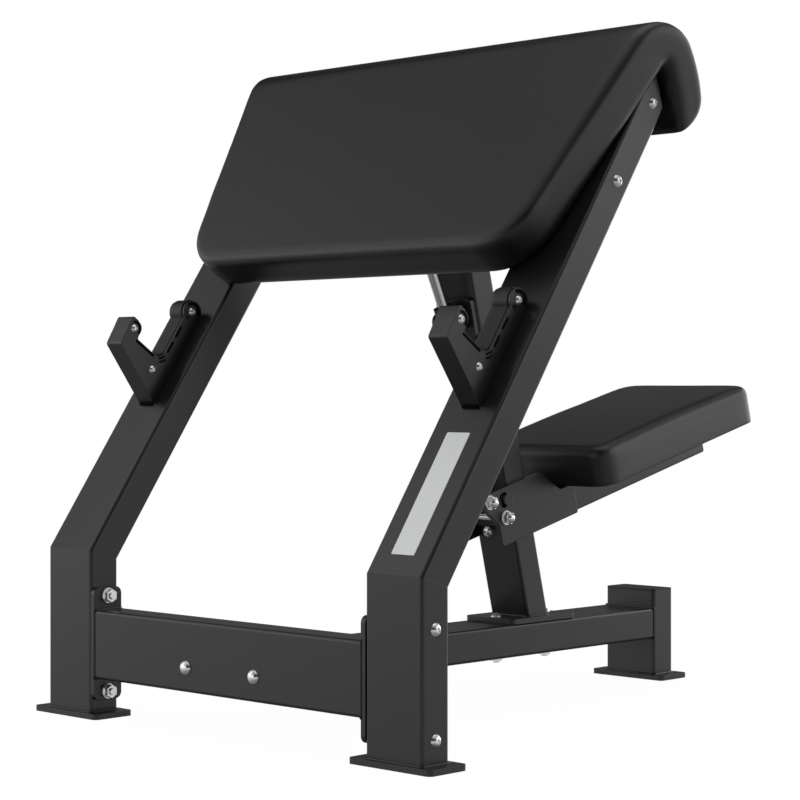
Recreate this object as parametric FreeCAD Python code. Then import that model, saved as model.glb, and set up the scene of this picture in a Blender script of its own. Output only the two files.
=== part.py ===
import FreeCAD, Part
import math
import os

Vector = FreeCAD.Vector
Placement = FreeCAD.Placement
Rotation = FreeCAD.Rotation

# A preacher curl bench, in millimetres. While it is drawn, X = 0 is the middle of the bench,
# Y = 0 the front of the legs and Z = 0 the floor. The seat is at the rear, towards +Y.

# Main tubes
frame_width = 763.0          # over the outer faces of the legs
main_wide = 100.0            # long side of the main tube
main_deep = 50.0             # short side of the main tube
main_wall = 3.0
main_corner = 5.0            # outside corner radius
least_corner = 0.5           # inside corner radius where the wall is thicker than the outer radius
lean_deg = 34.7              # the masts lean back by this from the vertical
bend_height = 244.4          # floor to the crease on the front of a leg
mast_length = 829.0          # crease to the top of a mast's front face
mast_end_deg = 38.0          # slope of the cut at a mast's top
mast_end_thick = 4.0         # plate that closes the cut

# Feet
foot_plate_thick = 8.0
foot_plate_side = 23.0       # reach past the tube, sideways
foot_plate_front = 10.0      # reach past the tube, front and back
foot_plate_corner = 8.0
rear_foot_y = 906.4          # front face of the rear foot
rear_foot_over = 31.0        # top of its cap above the base beam
cap_thick = 4.0
cap_plug = 12.0              # depth of a cap's plug inside its tube
cap_clearance = 0.3
cap_plug_corner = 1.0

# Crossbeams and their flanges
flange_ear = 32.0            # a flange reaches past its beam by this
flange_bolt_out = 19.75      # flange bolts outside the beam
flange_thick = 8.0
flange_corner = 10.0
lower_beam_gap = 17.7        # foot plate to the end of the lower flange
upper_beam_drop = 109.5      # middle of the upper crossbeam below the masts' top
base_beam_drop = 15.7        # middle of the base beam below that of the lower crossbeam

# Seat post
post_wide = 77.0
post_deep = 46.0
post_wall = 3.0
post_corner = 4.0
post_lean_deg = 14.2         # the post leans forward by this
post_head_drop = 2.7         # middle of the post's head below that of the upper crossbeam
post_plate_thick = 8.0
post_plate_long = 150.0
post_plate_bolt_pitch = 115.0
head_plate_tall = 72.0

# Fasteners
bolt_radius = 5.0
hole_clearance = 0.25        # radial, round a bolt
head_radius = 9.0
head_height = 5.5
socket_radius = 3.0          # hexagon socket in a head
socket_depth = 2.5
washer_radius = 11.0
washer_thick = 2.0
nut_across = 17.0            # across the flats
nut_height = 8.0
thread_past_nut = 3.0
dome_radius = 8.2
dome_height = 6.0
weld_nut_radius = 9.0

# Bar hooks, measured from the crease along the mast and out from its front face
hook_wide = 34.0
hook_wall = 5.0
hook_bottom = 257.0          # lower end of the hook, where it meets the mast
hook_ramp_rise = 38.0        # the sloping underside climbs by this to the elbow
hook_reach = 109.0           # front of the tip
hook_elbow_back = 4.0        # the elbow lies this far behind the front of the tip
hook_floor_rise = 63.0       # where a bar lies, above the lower end
hook_tip_rise = 23.0         # top of the tip above the floor
hook_tip_thick = 27.0
hook_round_slack = 1.5       # the tip's rounding is this much under half its thickness
hook_liner_round = 2.0       # front corner of the liner in the tip
hook_back = 27.0             # back wall of the cradle
hook_crook = 16.0            # inside radius between floor and back wall
hook_toe = 4.0               # inside radius between floor and tip
hook_head_rise = 96.0        # middle of the round head above the floor
hook_head_radius = 18.4
hook_edge = 0.8              # the steel sides stay this far behind the liner
hook_bolt_drop = 22.0        # low bolt below the floor
hook_bolt_ahead = 5.0        # low bolt in front of the back wall
hook_slot_wide = 2.6
hook_slot_corner = 1.2
hook_slot_inset = 4.0        # slot's middle behind the cradle's surface
hook_dash_long = 18.0
hook_dash_starts = (17.0, 46.0)   # dashes beside the back wall, above the floor
hook_bolt_radius = 4.0
hook_bolt_head = 6.5
hook_bolt_dome = 4.0

# Blank plate on the right mast
plate_wide = 40.0
plate_long = 186.0
plate_thick = 1.0
plate_corner = 2.0
plate_gap = 41.0             # upper end of the plate to the hook

# Arm pad, measured in the same way as the hooks
pad_thick = 63.0
pad_above_hook = 40.6        # head of a hook to the pad's lower end
pad_above_mast = 3.8         # top of a mast to the underside of the lip
pad_lip_deg = 23.3           # the lip drops by this below the square to the pad
pad_lip_long = 111.0
pad_lip_thick = 54.0
pad_low_over = 48.5          # the lower end reaches this far past the inner faces of the masts
pad_top_over = 20.5          # the roll reaches this far past the outer faces of the masts
pad_corner = 85.0            # planform radius of the lower corners
pad_crown = 3.0              # swell of the front
pad_edge = 13.0              # rounding of the edges
lip_round_more = 3.0         # rounding under the lip's end, over that of the edges
lip_flat = 2.0               # flat left at the lip's end
lip_root_round = 2.0
soft_gap = 0.3               # clearance round a soft solid
board_thick = 15.0
board_inset = 14.0           # board inside the pad's outline
board_top_gap = 7.0          # upper end of the board below the middle of the roll
bracket_leg = 42.0           # angle brackets under the upper crossbeam, behind the arm pad
bracket_long = 90.0
bracket_thick = 5.0
bracket_gap = 30.0           # bracket to the crossbeam's flange
screw_radius = 3.0
screw_head = 6.0
screw_head_high = 4.0
screw_depth = 11.0
screw_gap = 1.0              # screw head to its neighbours

# Brace strut between the post and the arm pad
strut_low_drop = 220.8       # lower pin, down the post from its head
strut_pin_out = 27.0         # lower pin, in front of the post
strut_top_gap = 12.5         # upper bracket to the upper crossbeam
strut_top_out = 34.0         # upper pin, behind the arm pad's board
strut_radius = 8.0
strut_eye_radius = 15.0
strut_eye_half = 13.0
strut_collar_long = 25.0
strut_rod_start = 10.0       # rod's end from the pin's middle
strut_pin_radius = 5.0
strut_fit = 0.1              # radial play of pin and rod
clevis_rim = 9.0             # screw to the edge of a clevis plate
clevis_tall = 62.0
clevis_thick = 8.0
clevis_corner = 8.0
clevis_ear = 6.0
clevis_ear_gap = 0.5         # ear to eye
clevis_ear_radius = 14.0
pin_head_radius = 8.0
pin_head_thick = 4.0

# Seat carriage, measured up the post and back from the post's front face
slide_gap = 0.5              # side plates to the post
glide_gap = 0.4              # glide blocks to the post
carriage_thick = 8.0
carriage_low = 134.3         # underside of the side plates and the arm
carriage_tall = 86.7
carriage_front = 38.5        # lower front edge, in front of the post
carriage_chin_rise = 34.7    # where the front edge turns out to the nose
carriage_nose = 68.0         # foremost point, in front of the post
carriage_nose_tall = 18.0
carriage_nose_rake = 3.0     # the nose's front edge leans back by this
carriage_shoulder = 72.0     # where the top edge turns down
carriage_slope = 40.0        # shoulder to heel, where the edge meets the arm's top
carriage_tail = 34.0         # heel to the rear end
carriage_heel_drop = 1.0     # rear top edge below the arm's top
carriage_corner = 4.0
chin_round = 8.0
nose_round = 10.0
brow_round = 12.0
shoulder_round = 16.0
heel_round = 10.0
window_ahead = 20.0          # round window, in front of the post
window_drop = 18.0           # window below the top edge
window_radius = 12.0
upper_bolt_inset = 15.0      # upper bolt behind the nose
upper_bolt_drop = 12.5       # upper bolt below the top edge
lower_bolt_ahead = 22.5      # lower bolt in front of the post
lower_bolt_rise = 41.4       # lower bolt above the underside
stop_rise = 150.5            # stop bolt on the post's front
stop_radius = 7.7
stop_gap = 0.3               # stop to the front glide at the lowest seat
stop_head_gap = 0.75         # head of the stop bolt to the front glide
glide_front_tall = 45.0
glide_rear_rise = 3.7        # rear glide above the underside
glide_rear_tall = 40.0
glide_rear_thick = 11.6
glide_corner = 2.0
arm_tall = 48.5
arm_wall = 3.0
arm_corner = 4.0
arm_short = 19.7             # the arm ends this far ahead of the seat's rear

# Seat
seat_wide = 260.0
seat_gap = 14.3              # heel of the side plates to the seat's front
seat_long = 396.4
seat_thick = 62.0
seat_crown = 4.0
seat_draw = 2.0              # the long sides draw in by this at the middle
seat_corner = 28.0
seat_edge = 13.0
seat_board_thick = 12.0
seat_board_inset = 10.0
seat_board_corner = 20.0
seat_bolt_inset = 90.0       # bolts from the seat's front and rear
seat_bolt_radius = 4.0
seat_bolt_depth = 10.0       # into the board

# Lock pin on the left side plate
lock_height = 23.7           # pin above the underside of the side plates
lock_pitch = 30.0
lock_holes = 7
pin_radius = 5.0
pin_play = 0.25
pin_reach = 6.0              # past the post's outer face
pin_travel = 12.0
barrel_wall = 2.6
barrel_end = 3.0
collar_radius = 8.0
collar_thick = 3.0
collar_play = 0.4
spring_wire = 0.7            # radius of the wire
spring_turns = 6
spring_gap = 0.3             # at each end of the spring
knob_radius = 14.0
knob_long = 24.0
knob_gap = 1.0
knob_edge = 5.0

# Places worked out from the sizes above
lean = math.radians(lean_deg)
post_lean = math.radians(post_lean_deg)
mast_end = math.radians(mast_end_deg)
lip_drop = math.radians(pad_lip_deg)
reach = 3 * frame_width      # longer than anything that is cut
leg_x = (frame_width - main_wide) / 2
inner_x = frame_width / 2 - main_wide
bolt_hole = bolt_radius + hole_clearance
flange_long = main_wide + 2 * flange_ear
half_pitch = main_wide / 2 + flange_bolt_out
lower_beam_height = foot_plate_thick + lower_beam_gap + flange_long / 2
base_beam_height = lower_beam_height - base_beam_drop
beam_top = base_beam_height + main_deep / 2
upper_beam_reach = mast_length - upper_beam_drop
head_reach = upper_beam_reach - post_head_drop
mast_frame = Placement(Vector(0, 0, bend_height), Rotation(Vector(1, 0, 0), -lean_deg))
head_middle = mast_frame.multVec(Vector(0, main_deep + flange_thick, head_reach))
post_foot_middle = head_middle.y + (head_middle.z - beam_top) * math.tan(post_lean)
post_foot_y = post_foot_middle - post_deep / math.cos(post_lean) / 2
post_long = (head_middle.z - beam_top) / math.cos(post_lean)
post_frame = Placement(Vector(0, post_foot_y, beam_top), Rotation(Vector(1, 0, 0), post_lean_deg))

hook_elbow = hook_bottom + hook_ramp_rise
hook_elbow_reach = hook_reach - hook_elbow_back
hook_floor = hook_bottom + hook_floor_rise
hook_tip = hook_floor + hook_tip_rise
hook_head = hook_floor + hook_head_rise
plate_start = hook_bottom - plate_gap - plate_long
pad_bottom = hook_head + hook_head_radius + pad_above_hook
lip_root = mast_length + mast_end_thick / math.cos(mast_end) + pad_above_mast
pad_roll = lip_root - (pad_thick - pad_lip_thick + soft_gap * math.sin(lip_drop)) / math.cos(lip_drop)
pad_bottom_half = inner_x + pad_low_over
pad_top_half = frame_width / 2 + pad_top_over
lip_inner_round = pad_edge + lip_round_more
lip_outer_round = pad_lip_thick - lip_inner_round - lip_flat
upper_beam_under = upper_beam_reach - main_wide / 2
strut_low_rise = post_long - strut_low_drop
strut_top_reach = upper_beam_under - strut_top_gap - clevis_tall / 2
ear_inside = strut_eye_half + clevis_ear_gap
clevis_screw_side = ear_inside + clevis_ear + screw_head + screw_gap

plate_inner_x = post_wide / 2 + slide_gap
plate_outer_x = plate_inner_x + carriage_thick
arm_top = carriage_low + arm_tall
carriage_top = carriage_low + carriage_tall
carriage_heel = carriage_shoulder + carriage_slope
front_glide_out = lower_bolt_ahead - bolt_radius - slide_gap / 2
stop_out = front_glide_out + stop_head_gap
seat_front = carriage_heel + seat_gap
seat_rear = seat_front + seat_long
arm_end = seat_rear - arm_short
lock_back = post_deep / 2
lock_rise = carriage_low + lock_height
chamber_radius = collar_radius + collar_play
chamber_long = collar_play + collar_thick + 2 * (spring_wire * spring_turns + spring_gap) + pin_travel
barrel_long = chamber_long + 2 * barrel_end


def run_edges(corners, closed=True):
    # Lines and tangent arcs through (a, b, radius) corners.
    points = [Vector(a, b, 0) for a, b, radius in corners]
    ends = []
    for i, (a, b, radius) in enumerate(corners):
        here = points[i]
        if radius == 0:
            ends.append((here, None, here))
            continue
        back = (points[i - 1] - here).normalize()
        ahead = (points[(i + 1) % len(points)] - here).normalize()
        half = back.getAngle(ahead) / 2
        middle = (back + ahead).normalize()
        centre = here + middle * (radius / math.sin(half))
        run = radius / math.tan(half)
        ends.append((here + back * run, centre - middle * radius, here + ahead * run))
    edges = []
    for i, (start, mid, end) in enumerate(ends):
        if mid is not None:
            edges.append(Part.Arc(start, mid, end).toShape())
        if not closed and i == len(ends) - 1:
            break
        following = ends[(i + 1) % len(ends)][0]
        if end.distanceToPoint(following) > 1e-6:
            edges.append(Part.LineSegment(end, following).toShape())
    return edges


def outline(corners):
    return Part.Wire(run_edges(corners))


def arc(start, middle, end):
    return Part.Arc(start, middle, end).toShape()


def straight(a0, b0, a1, b1):
    return Part.LineSegment(Vector(a0, b0, 0), Vector(a1, b1, 0)).toShape()


def rectangle(a0, a1, b0, b1, radius=0.0):
    return [(a0, b0, radius), (a1, b0, radius), (a1, b1, radius), (a0, b1, radius)]


turns = {
    "x": Rotation(Vector(1, 1, 1), 120),   # outline (a, b) is (Y, Z)
    "y": Rotation(Vector(1, 1, 1), 240),   # outline (a, b) is (Z, X)
    "z": Rotation(),                       # outline (a, b) is (X, Y)
}


def slab(axis, wire, low, high):
    # A flat shape with the given outline, from low to high along an axis.
    solid = Part.Face(wire).extrude(Vector(0, 0, high - low))
    solid.translate(Vector(0, 0, low))
    return put(solid, Placement(Vector(), turns[axis]))


def tube(axis, a0, a1, b0, b1, low, high, wall, corner):
    outer = slab(axis, outline(rectangle(a0, a1, b0, b1, corner)), low, high)
    inside = rectangle(a0 + wall, a1 - wall, b0 + wall, b1 - wall, max(corner - wall, least_corner))
    return outer.cut(slab(axis, outline(inside), low, high))


def put(shape, frame):
    moved = shape.copy()
    moved.Placement = frame.multiply(moved.Placement)
    return moved


def aim(shape, point, direction):
    return put(shape, Placement(point, Rotation(Vector(0, 0, 1), direction)))


def mirrored(shape):
    return shape.mirror(Vector(0, 0, 0), Vector(1, 0, 0))


def cut_beyond(shape, point, normal):
    # Takes away what lies past a plane, on the side its normal points to.
    block = Part.makeBox(2 * reach, 2 * reach, reach, Vector(-reach, -reach, 0))
    return shape.cut(aim(block, point, normal))


def pin(point, direction, radius, length):
    return Part.makeCylinder(radius, length, point, direction)


def drilled(shape, points, direction, radius):
    # Straight holes right through a shape.
    for point in points:
        shape = shape.cut(pin(point - direction * reach, direction, radius, 2 * reach))
    return shape


def hexagon(across, height):
    points = []
    for i in range(7):
        turn = math.radians(60 * i)
        points.append(Vector(math.cos(turn), math.sin(turn), 0) * (across / math.sqrt(3)))
    return Part.Face(Part.makePolygon(points)).extrude(Vector(0, 0, height))


def domed(radius, height):
    # A low dome on z = 0, flat at its foot.
    sphere = (radius ** 2 + height ** 2) / (2 * height)
    ball = Part.makeSphere(sphere, Vector(0, 0, height - sphere))
    return ball.common(Part.makeCylinder(radius + height, height))


def button_bolt(length, radius=bolt_radius, head=head_radius, high=head_height):
    # Head above z = 0 and shank below it.
    solid = domed(head, high).fuse(pin(Vector(0, 0, -length), Vector(0, 0, 1), radius, length))
    socket = hexagon(2 * socket_radius * radius / bolt_radius, high)
    socket.translate(Vector(0, 0, high - socket_depth * radius / bolt_radius))
    return solid.cut(socket)


def washer():
    ring = Part.makeCylinder(washer_radius, washer_thick)
    return ring.cut(Part.makeCylinder(bolt_hole, washer_thick))


def nut():
    return hexagon(nut_across, nut_height).cut(Part.makeCylinder(bolt_hole, nut_height))


def dome_nut():
    # Hexagon foot, round cap, blind bore.
    foot = hexagon(nut_across, nut_height)
    cap = domed(dome_radius, dome_height)
    cap.translate(Vector(0, 0, nut_height))
    bore = Part.makeCylinder(bolt_hole, nut_height + thread_past_nut)
    return foot.fuse(cap).cut(bore)


def group(shapes):
    return Part.makeCompound(shapes)


def legs():
    # Each upright is two tubes mitred at the crease and closed by a plate at the top.
    mitre = Vector(0, math.sin(lean / 2), math.cos(lean / 2))
    crease = Vector(0, 0, bend_height)
    end_normal = Vector(0, math.sin(mast_end), math.cos(mast_end))
    end_point = Vector(0, 0, mast_length)
    half = main_wide / 2
    pieces = {}
    covers = []
    for name, side in (("left", -1), ("right", 1)):
        x = side * leg_x
        holes = [Vector(x, main_deep / 2, lower_beam_height + half_pitch * way) for way in (-1, 1)]
        blank = tube("z", x - half, x + half, 0, main_deep, foot_plate_thick,
                     bend_height + main_deep, main_wall, main_corner)
        blank = drilled(blank, holes, Vector(1, 0, 0), bolt_hole)
        pieces[name + "_leg"] = cut_beyond(blank, crease, mitre)

        holes = [Vector(x, main_deep / 2, upper_beam_reach + half_pitch * way) for way in (-1, 1)]
        blank = tube("z", x - half, x + half, 0, main_deep, -main_deep,
                     mast_length + main_deep, main_wall, main_corner)
        blank = cut_beyond(blank, end_point, end_normal)
        blank = put(drilled(blank, holes, Vector(1, 0, 0), bolt_hole), mast_frame)
        pieces[name + "_mast"] = cut_beyond(blank, crease, mitre * -1)

        cover = slab("z", outline(rectangle(x - half, x + half, 0, main_deep, main_corner)),
                     mast_length - main_wide, mast_length + main_wide)
        cover = cut_beyond(cover, end_point, end_normal * -1)
        cover = cut_beyond(cover, end_point + end_normal * mast_end_thick, end_normal)
        covers.append(put(cover, mast_frame))
        pieces[name + "_foot_plate"] = foot_plate(x, 0)
    pieces["mast_end_plates"] = group(covers)
    return pieces


def foot_plate(x, y):
    side = main_wide / 2 + foot_plate_side
    corners = rectangle(x - side, x + side, y - foot_plate_front, y + main_deep + foot_plate_front,
                        foot_plate_corner)
    return slab("z", outline(corners), 0, foot_plate_thick)


def rear_foot():
    half = main_wide / 2
    tube_top = beam_top + rear_foot_over - cap_thick
    rear = rear_foot_y + main_deep
    post = tube("z", -half, half, rear_foot_y, rear, foot_plate_thick, tube_top,
                main_wall, main_corner)
    return {
        "rear_foot": post,
        "rear_foot_plate": foot_plate(0, rear_foot_y),
        "rear_foot_cap": cap("z", -half, half, rear_foot_y, rear, tube_top),
    }


def cap(axis, a0, a1, b0, b1, level, wall=main_wall, corner=main_corner):
    # Plastic end cap: a plate over the tube's end and a plug inside it.
    play = wall + cap_clearance
    cover = slab(axis, outline(rectangle(a0, a1, b0, b1, corner)), level, level + cap_thick)
    plug = rectangle(a0 + play, a1 - play, b0 + play, b1 - play, cap_plug_corner)
    return cover.fuse(slab(axis, outline(plug), level - cap_plug, level))


def crossbeam(middle, frame, holes):
    # A beam across the masts or legs, with a bolted flange at each end.
    half = main_wide / 2
    end = inner_x - flange_thick
    beam = tube("x", 0, main_deep, middle - half, middle + half, -end, end, main_wall, main_corner)
    beam = drilled(beam, holes, Vector(0, 1, 0), bolt_hole)
    corners = rectangle(0, main_deep, middle - flange_long / 2, middle + flange_long / 2, flange_corner)
    flange = slab("x", outline(corners), end, inner_x)
    bolts = [Vector(end, main_deep / 2, middle + half_pitch * way) for way in (-1, 1)]
    flange = drilled(flange, bolts, Vector(1, 0, 0), bolt_hole)
    return put(beam, frame), put(group([mirrored(flange), flange]), frame)


def beams():
    at_base = [Vector(half_pitch * way, 0, base_beam_height) for way in (-1, 1)]
    lower, lower_flanges = crossbeam(lower_beam_height, Placement(), at_base)
    upper, upper_flanges = crossbeam(upper_beam_reach, mast_frame, [])
    rear_wall = [Vector(half_pitch * way, main_deep / 2, head_reach) for way in (-1, 1)]
    for point in rear_wall:
        upper = upper.cut(put(pin(point, Vector(0, 1, 0), bolt_hole, main_deep), mast_frame))
    half = main_wide / 2
    low = base_beam_height - main_deep / 2
    base = tube("y", low, beam_top, -half, half, main_deep + flange_thick, rear_foot_y,
                main_wall, main_corner)
    base = drilled(base, post_foot_bolts(), Vector(0, 0, 1), bolt_hole)
    corners = rectangle(low, beam_top, -flange_long / 2, flange_long / 2, flange_corner)
    flange = slab("y", outline(corners), main_deep, main_deep + flange_thick)
    return {
        "lower_crossbeam": lower,
        "lower_crossbeam_flanges": lower_flanges,
        "upper_crossbeam": upper,
        "upper_crossbeam_flanges": upper_flanges,
        "base_beam": base,
        "base_beam_flange": drilled(flange, at_base, Vector(0, 1, 0), bolt_hole),
    }


def post_foot_bolts():
    half = post_plate_bolt_pitch / 2
    return [Vector(0, post_foot_middle + half * way, beam_top) for way in (-1, 1)]


def seat_post():
    half = post_wide / 2
    blank = tube("z", -half, half, 0, post_deep, -reach, reach, post_wall, post_corner)
    left_wall = Vector(-post_wide, lock_back, lock_rise)
    for i in range(lock_holes):
        place = left_wall + Vector(0, 0, lock_pitch * i)
        blank = blank.cut(pin(place, Vector(1, 0, 0), pin_radius + pin_play, post_wide))
    blank = blank.cut(pin(Vector(0, -post_wall, stop_rise), Vector(0, 1, 0), bolt_hole, 3 * post_wall))
    blank = put(blank, post_frame)
    plate_top = beam_top + post_plate_thick
    blank = cut_beyond(blank, Vector(0, 0, plate_top), Vector(0, 0, -1))
    seat = mast_frame.multVec(Vector(0, main_deep + flange_thick, 0))
    square = Vector(0, math.cos(lean), -math.sin(lean))
    blank = cut_beyond(blank, seat, square * -1)

    corners = rectangle(-main_wide / 2, main_wide / 2, post_foot_middle - post_plate_long / 2,
                        post_foot_middle + post_plate_long / 2, foot_plate_corner)
    foot = slab("z", outline(corners), beam_top, plate_top)
    foot = drilled(foot, post_foot_bolts(), Vector(0, 0, 1), bolt_hole)
    corners = rectangle(head_reach - head_plate_tall / 2, head_reach + head_plate_tall / 2,
                        -flange_long / 2, flange_long / 2, flange_corner)
    head = slab("y", outline(corners), main_deep, main_deep + flange_thick)
    head_bolts = [Vector(half_pitch * way, 0, head_reach) for way in (-1, 1)]
    head = drilled(head, head_bolts, Vector(0, 1, 0), bolt_hole)
    return {
        "seat_post": blank,
        "seat_post_foot_plate": foot,
        "seat_post_head_plate": put(head, mast_frame),
    }


def hook_side(start, behind):
    # Side view of a hook: the given start, the tip, the cradle set back by a margin, the round head.
    tip_round = (hook_tip_thick - behind) / 2 - hook_round_slack
    inner_tip = -hook_reach + hook_tip_thick - behind
    floor = hook_floor - behind
    back = -hook_back + behind
    head = hook_head_radius - behind
    neck = hook_head - math.sqrt(head ** 2 - (back + head) ** 2)
    edges = run_edges(start + [(inner_tip, hook_tip - behind, tip_round), (inner_tip, floor, hook_toe),
                               (back, floor, hook_crook), (back, neck, 0)], closed=False)
    crown = Vector(-head, hook_head + head, 0)
    edges.append(arc(Vector(back, neck, 0), Vector(-2 * head, hook_head, 0), crown))
    edges.append(arc(crown, Vector(-head, hook_head, 0) + Vector(1, 1, 0).normalize() * head,
                     Vector(0, hook_head, 0)))
    edges.append(straight(0, hook_head, start[0][0], start[0][1]))
    return Part.Wire(edges)


def hook_bolt_places():
    tip = Vector(0, -hook_reach + hook_tip_thick / 2, hook_tip - hook_tip_thick / 2 - hook_edge)
    low = Vector(0, -hook_back - hook_bolt_ahead, hook_floor - hook_bolt_drop)
    head = Vector(0, -hook_head_radius, hook_head)
    return [tip, low, head]


def hooks():
    # A steel shell, open at the top, round a moulded liner that a bar lies on.
    half = hook_wide / 2
    inside = half - hook_wall
    across = Vector(1, 0, 0)
    skin = hook_wall * math.hypot(hook_ramp_rise, hook_elbow_reach) / hook_elbow_reach
    slope = hook_ramp_rise / hook_elbow_reach
    tip_round = (hook_tip_thick - hook_edge) / 2 - hook_round_slack
    under = [(0, hook_bottom, 0), (-hook_elbow_reach, hook_elbow, hook_wall),
             (-hook_reach, hook_tip - hook_edge, tip_round)]
    shell = slab("x", hook_side(under, hook_edge), -half, half)
    front_inside = hook_elbow_reach - hook_wall
    front_top = hook_tip - hook_tip_thick / 2 - hook_edge
    ramp_inside = hook_bottom + skin
    toe = ramp_inside + slope * front_inside
    channel = [(hook_wall, ramp_inside - slope * hook_wall, 0), (-front_inside, toe, 0),
               (-hook_reach + hook_wall, front_top, 0), (-hook_reach - hook_wall, front_top, 0),
               (-hook_reach - hook_wall, 2 * hook_head, 0), (hook_wall, 2 * hook_head, 0)]
    shell = shell.cut(slab("x", outline(channel), -inside, inside))
    slot = hook_slot_wide / 2
    back = -hook_back + hook_slot_inset
    floor = hook_floor - hook_slot_inset
    slots = [(-hook_reach + hook_tip_thick, -hook_back - hook_crook, floor, floor)]
    for rise in hook_dash_starts:
        slots.append((back, back, hook_floor + rise, hook_floor + rise + hook_dash_long))
    for a0, a1, b0, b1 in slots:
        hole = rectangle(a0 - slot, a1 + slot, b0 - slot, b1 + slot, hook_slot_corner)
        shell = shell.cut(slab("x", outline(hole), -half, half))
    places = hook_bolt_places()
    shell = drilled(shell, places, across, hook_bolt_radius + hole_clearance)
    block = [(0, ramp_inside, 0), (-front_inside, toe, 0),
             (-front_inside, hook_tip, hook_liner_round)]
    liner = slab("x", hook_side(block, 0), -inside, inside)
    liner = drilled(liner, places, across, hook_bolt_radius + hole_clearance)
    bolt = button_bolt(hook_wide, hook_bolt_radius, hook_bolt_head, hook_bolt_dome)
    far_dome = domed(hook_bolt_head, hook_bolt_dome)
    fasteners = []
    for place in places:
        fasteners.append(aim(bolt, place + across * half, across))
        fasteners.append(aim(far_dome, place - across * half, across * -1))
    pieces = {}
    for name, side_way in (("left", -1), ("right", 1)):
        frame = mast_frame.multiply(Placement(Vector(side_way * leg_x, 0, 0), Rotation()))
        pieces[name + "_hook_shell"] = put(shell, frame)
        pieces[name + "_hook_liner"] = put(liner, frame)
        pieces[name + "_hook_bolts"] = put(group(fasteners), frame)
    return pieces


def name_plate():
    half = plate_wide / 2
    corners = rectangle(plate_start, plate_start + plate_long, leg_x - half, leg_x + half, plate_corner)
    return {"name_plate": put(slab("y", outline(corners), -plate_thick, 0), mast_frame)}


def pad_half(rise):
    # Half width of the arm pad at a height along the masts.
    share = (rise - pad_bottom) / (pad_roll - pad_bottom)
    return pad_bottom_half + (pad_top_half - pad_bottom_half) * share


def pad_planform(inset, top):
    # Seen square to the masts: (along the mast, X), narrower at the lower end.
    low = pad_bottom + inset
    return [(low, -pad_half(low) + inset, pad_corner - inset), (top, -pad_half(top) + inset, 0),
            (top, pad_half(top) - inset, 0), (low, pad_half(low) - inset, pad_corner - inset)]


def pad_side():
    # Side view: crowned front, roll of one thickness over the top, and the lip behind the masts.
    along = Vector(math.cos(lip_drop), -math.sin(lip_drop), 0)
    out = Vector(math.sin(lip_drop), math.cos(lip_drop), 0)
    roll = Vector(0, pad_roll, 0)
    roll_end = roll + out * pad_thick
    end = roll_end + along * pad_lip_long
    inner = end - out * pad_lip_thick
    front_low = Vector(-pad_thick + pad_crown, pad_bottom, 0)
    front_high = Vector(-pad_thick, pad_roll, 0)
    front_middle = Vector(-pad_thick + pad_crown / 4, (pad_bottom + pad_roll) / 2, 0)
    half_turn = (math.pi / 2 + lip_drop) / 2
    roll_middle = roll + Vector(-math.cos(half_turn), math.sin(half_turn), 0) * pad_thick
    back = run_edges([(roll_end.x, roll_end.y, 0), (end.x, end.y, lip_outer_round),
                      (inner.x, inner.y, lip_inner_round), (-soft_gap, lip_root, lip_root_round),
                      (-soft_gap, pad_bottom, 0), (front_low.x, front_low.y, 0)], closed=False)
    front = [arc(front_low, front_middle, front_high), arc(front_high, roll_middle, roll_end)]
    return Part.Wire(back + front)


def softened(cushion, normal, radius):
    # Rounds the rim, where the faces of the planform meet the faces of the side view.
    rim = []
    for edge in cushion.Edges:
        point = edge.valueAt((edge.FirstParameter + edge.LastParameter) / 2)
        faces = cushion.ancestorsOfType(edge, Part.Face)
        upright = []
        for face in faces:
            u, v = face.Surface.parameter(point)
            upright.append(abs(face.normalAt(u, v).dot(normal)) < 1e-6)
        if upright[0] != upright[1]:
            rim.append(edge)
    return cushion.makeFillet(radius, rim)


def arm_pad():
    # The cushion wraps a board, which lies on the masts and is held by brackets under the crossbeam.
    body = slab("x", pad_side(), -frame_width, frame_width)
    top = pad_roll + 2 * pad_thick
    plan = slab("y", outline(pad_planform(0, top)), -2 * pad_thick, 2 * (pad_thick + pad_lip_long))
    cushion = softened(body.common(plan), Vector(0, 1, 0), pad_edge)
    board_top = pad_roll - board_top_gap
    board = slab("y", outline(pad_planform(board_inset, board_top)), -board_thick, 0)
    pocket = slab("y", outline(pad_planform(board_inset - soft_gap, board_top + soft_gap)),
                  -board_thick - soft_gap, 0)
    level = upper_beam_under - bracket_thick
    foot = upper_beam_under - bracket_leg
    angle = [(0, upper_beam_under, 0), (bracket_leg, upper_beam_under, 0), (bracket_leg, level, 0),
             (bracket_thick, level, 0), (bracket_thick, foot, 0), (0, foot, 0)]
    outer = inner_x - flange_thick - bracket_gap
    inner = outer - bracket_long
    bracket = slab("x", outline(angle), inner, outer)
    places = [Vector(x, bracket_thick, (level + foot) / 2)
              for x in ((3 * inner + outer) / 4, (inner + 3 * outer) / 4)]
    bracket = drilled(bracket, places, Vector(0, 1, 0), screw_radius + hole_clearance)
    brackets = [mirrored(bracket), bracket]
    screws = []
    for place in places:
        for side in (-1, 1):
            screws.append((Vector(side * place.x, place.y, place.z), bracket_thick))
    for corner in clevis_screws():
        screws.append((corner + Vector(0, clevis_thick, strut_top_reach), clevis_thick))
    placed = []
    for place, grip in screws:
        placed.append(aim(wood_screw(grip), place, Vector(0, 1, 0)))
        board = board.cut(pin(Vector(place.x, 0, place.z), Vector(0, -1, 0),
                              screw_radius + hole_clearance, screw_depth + hole_clearance))
    return {
        "arm_pad_cushion": put(cushion.cut(pocket), mast_frame),
        "arm_pad_board": put(board, mast_frame),
        "arm_pad_brackets": put(group(brackets), mast_frame),
        "arm_pad_screws": put(group(placed), mast_frame),
    }


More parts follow.
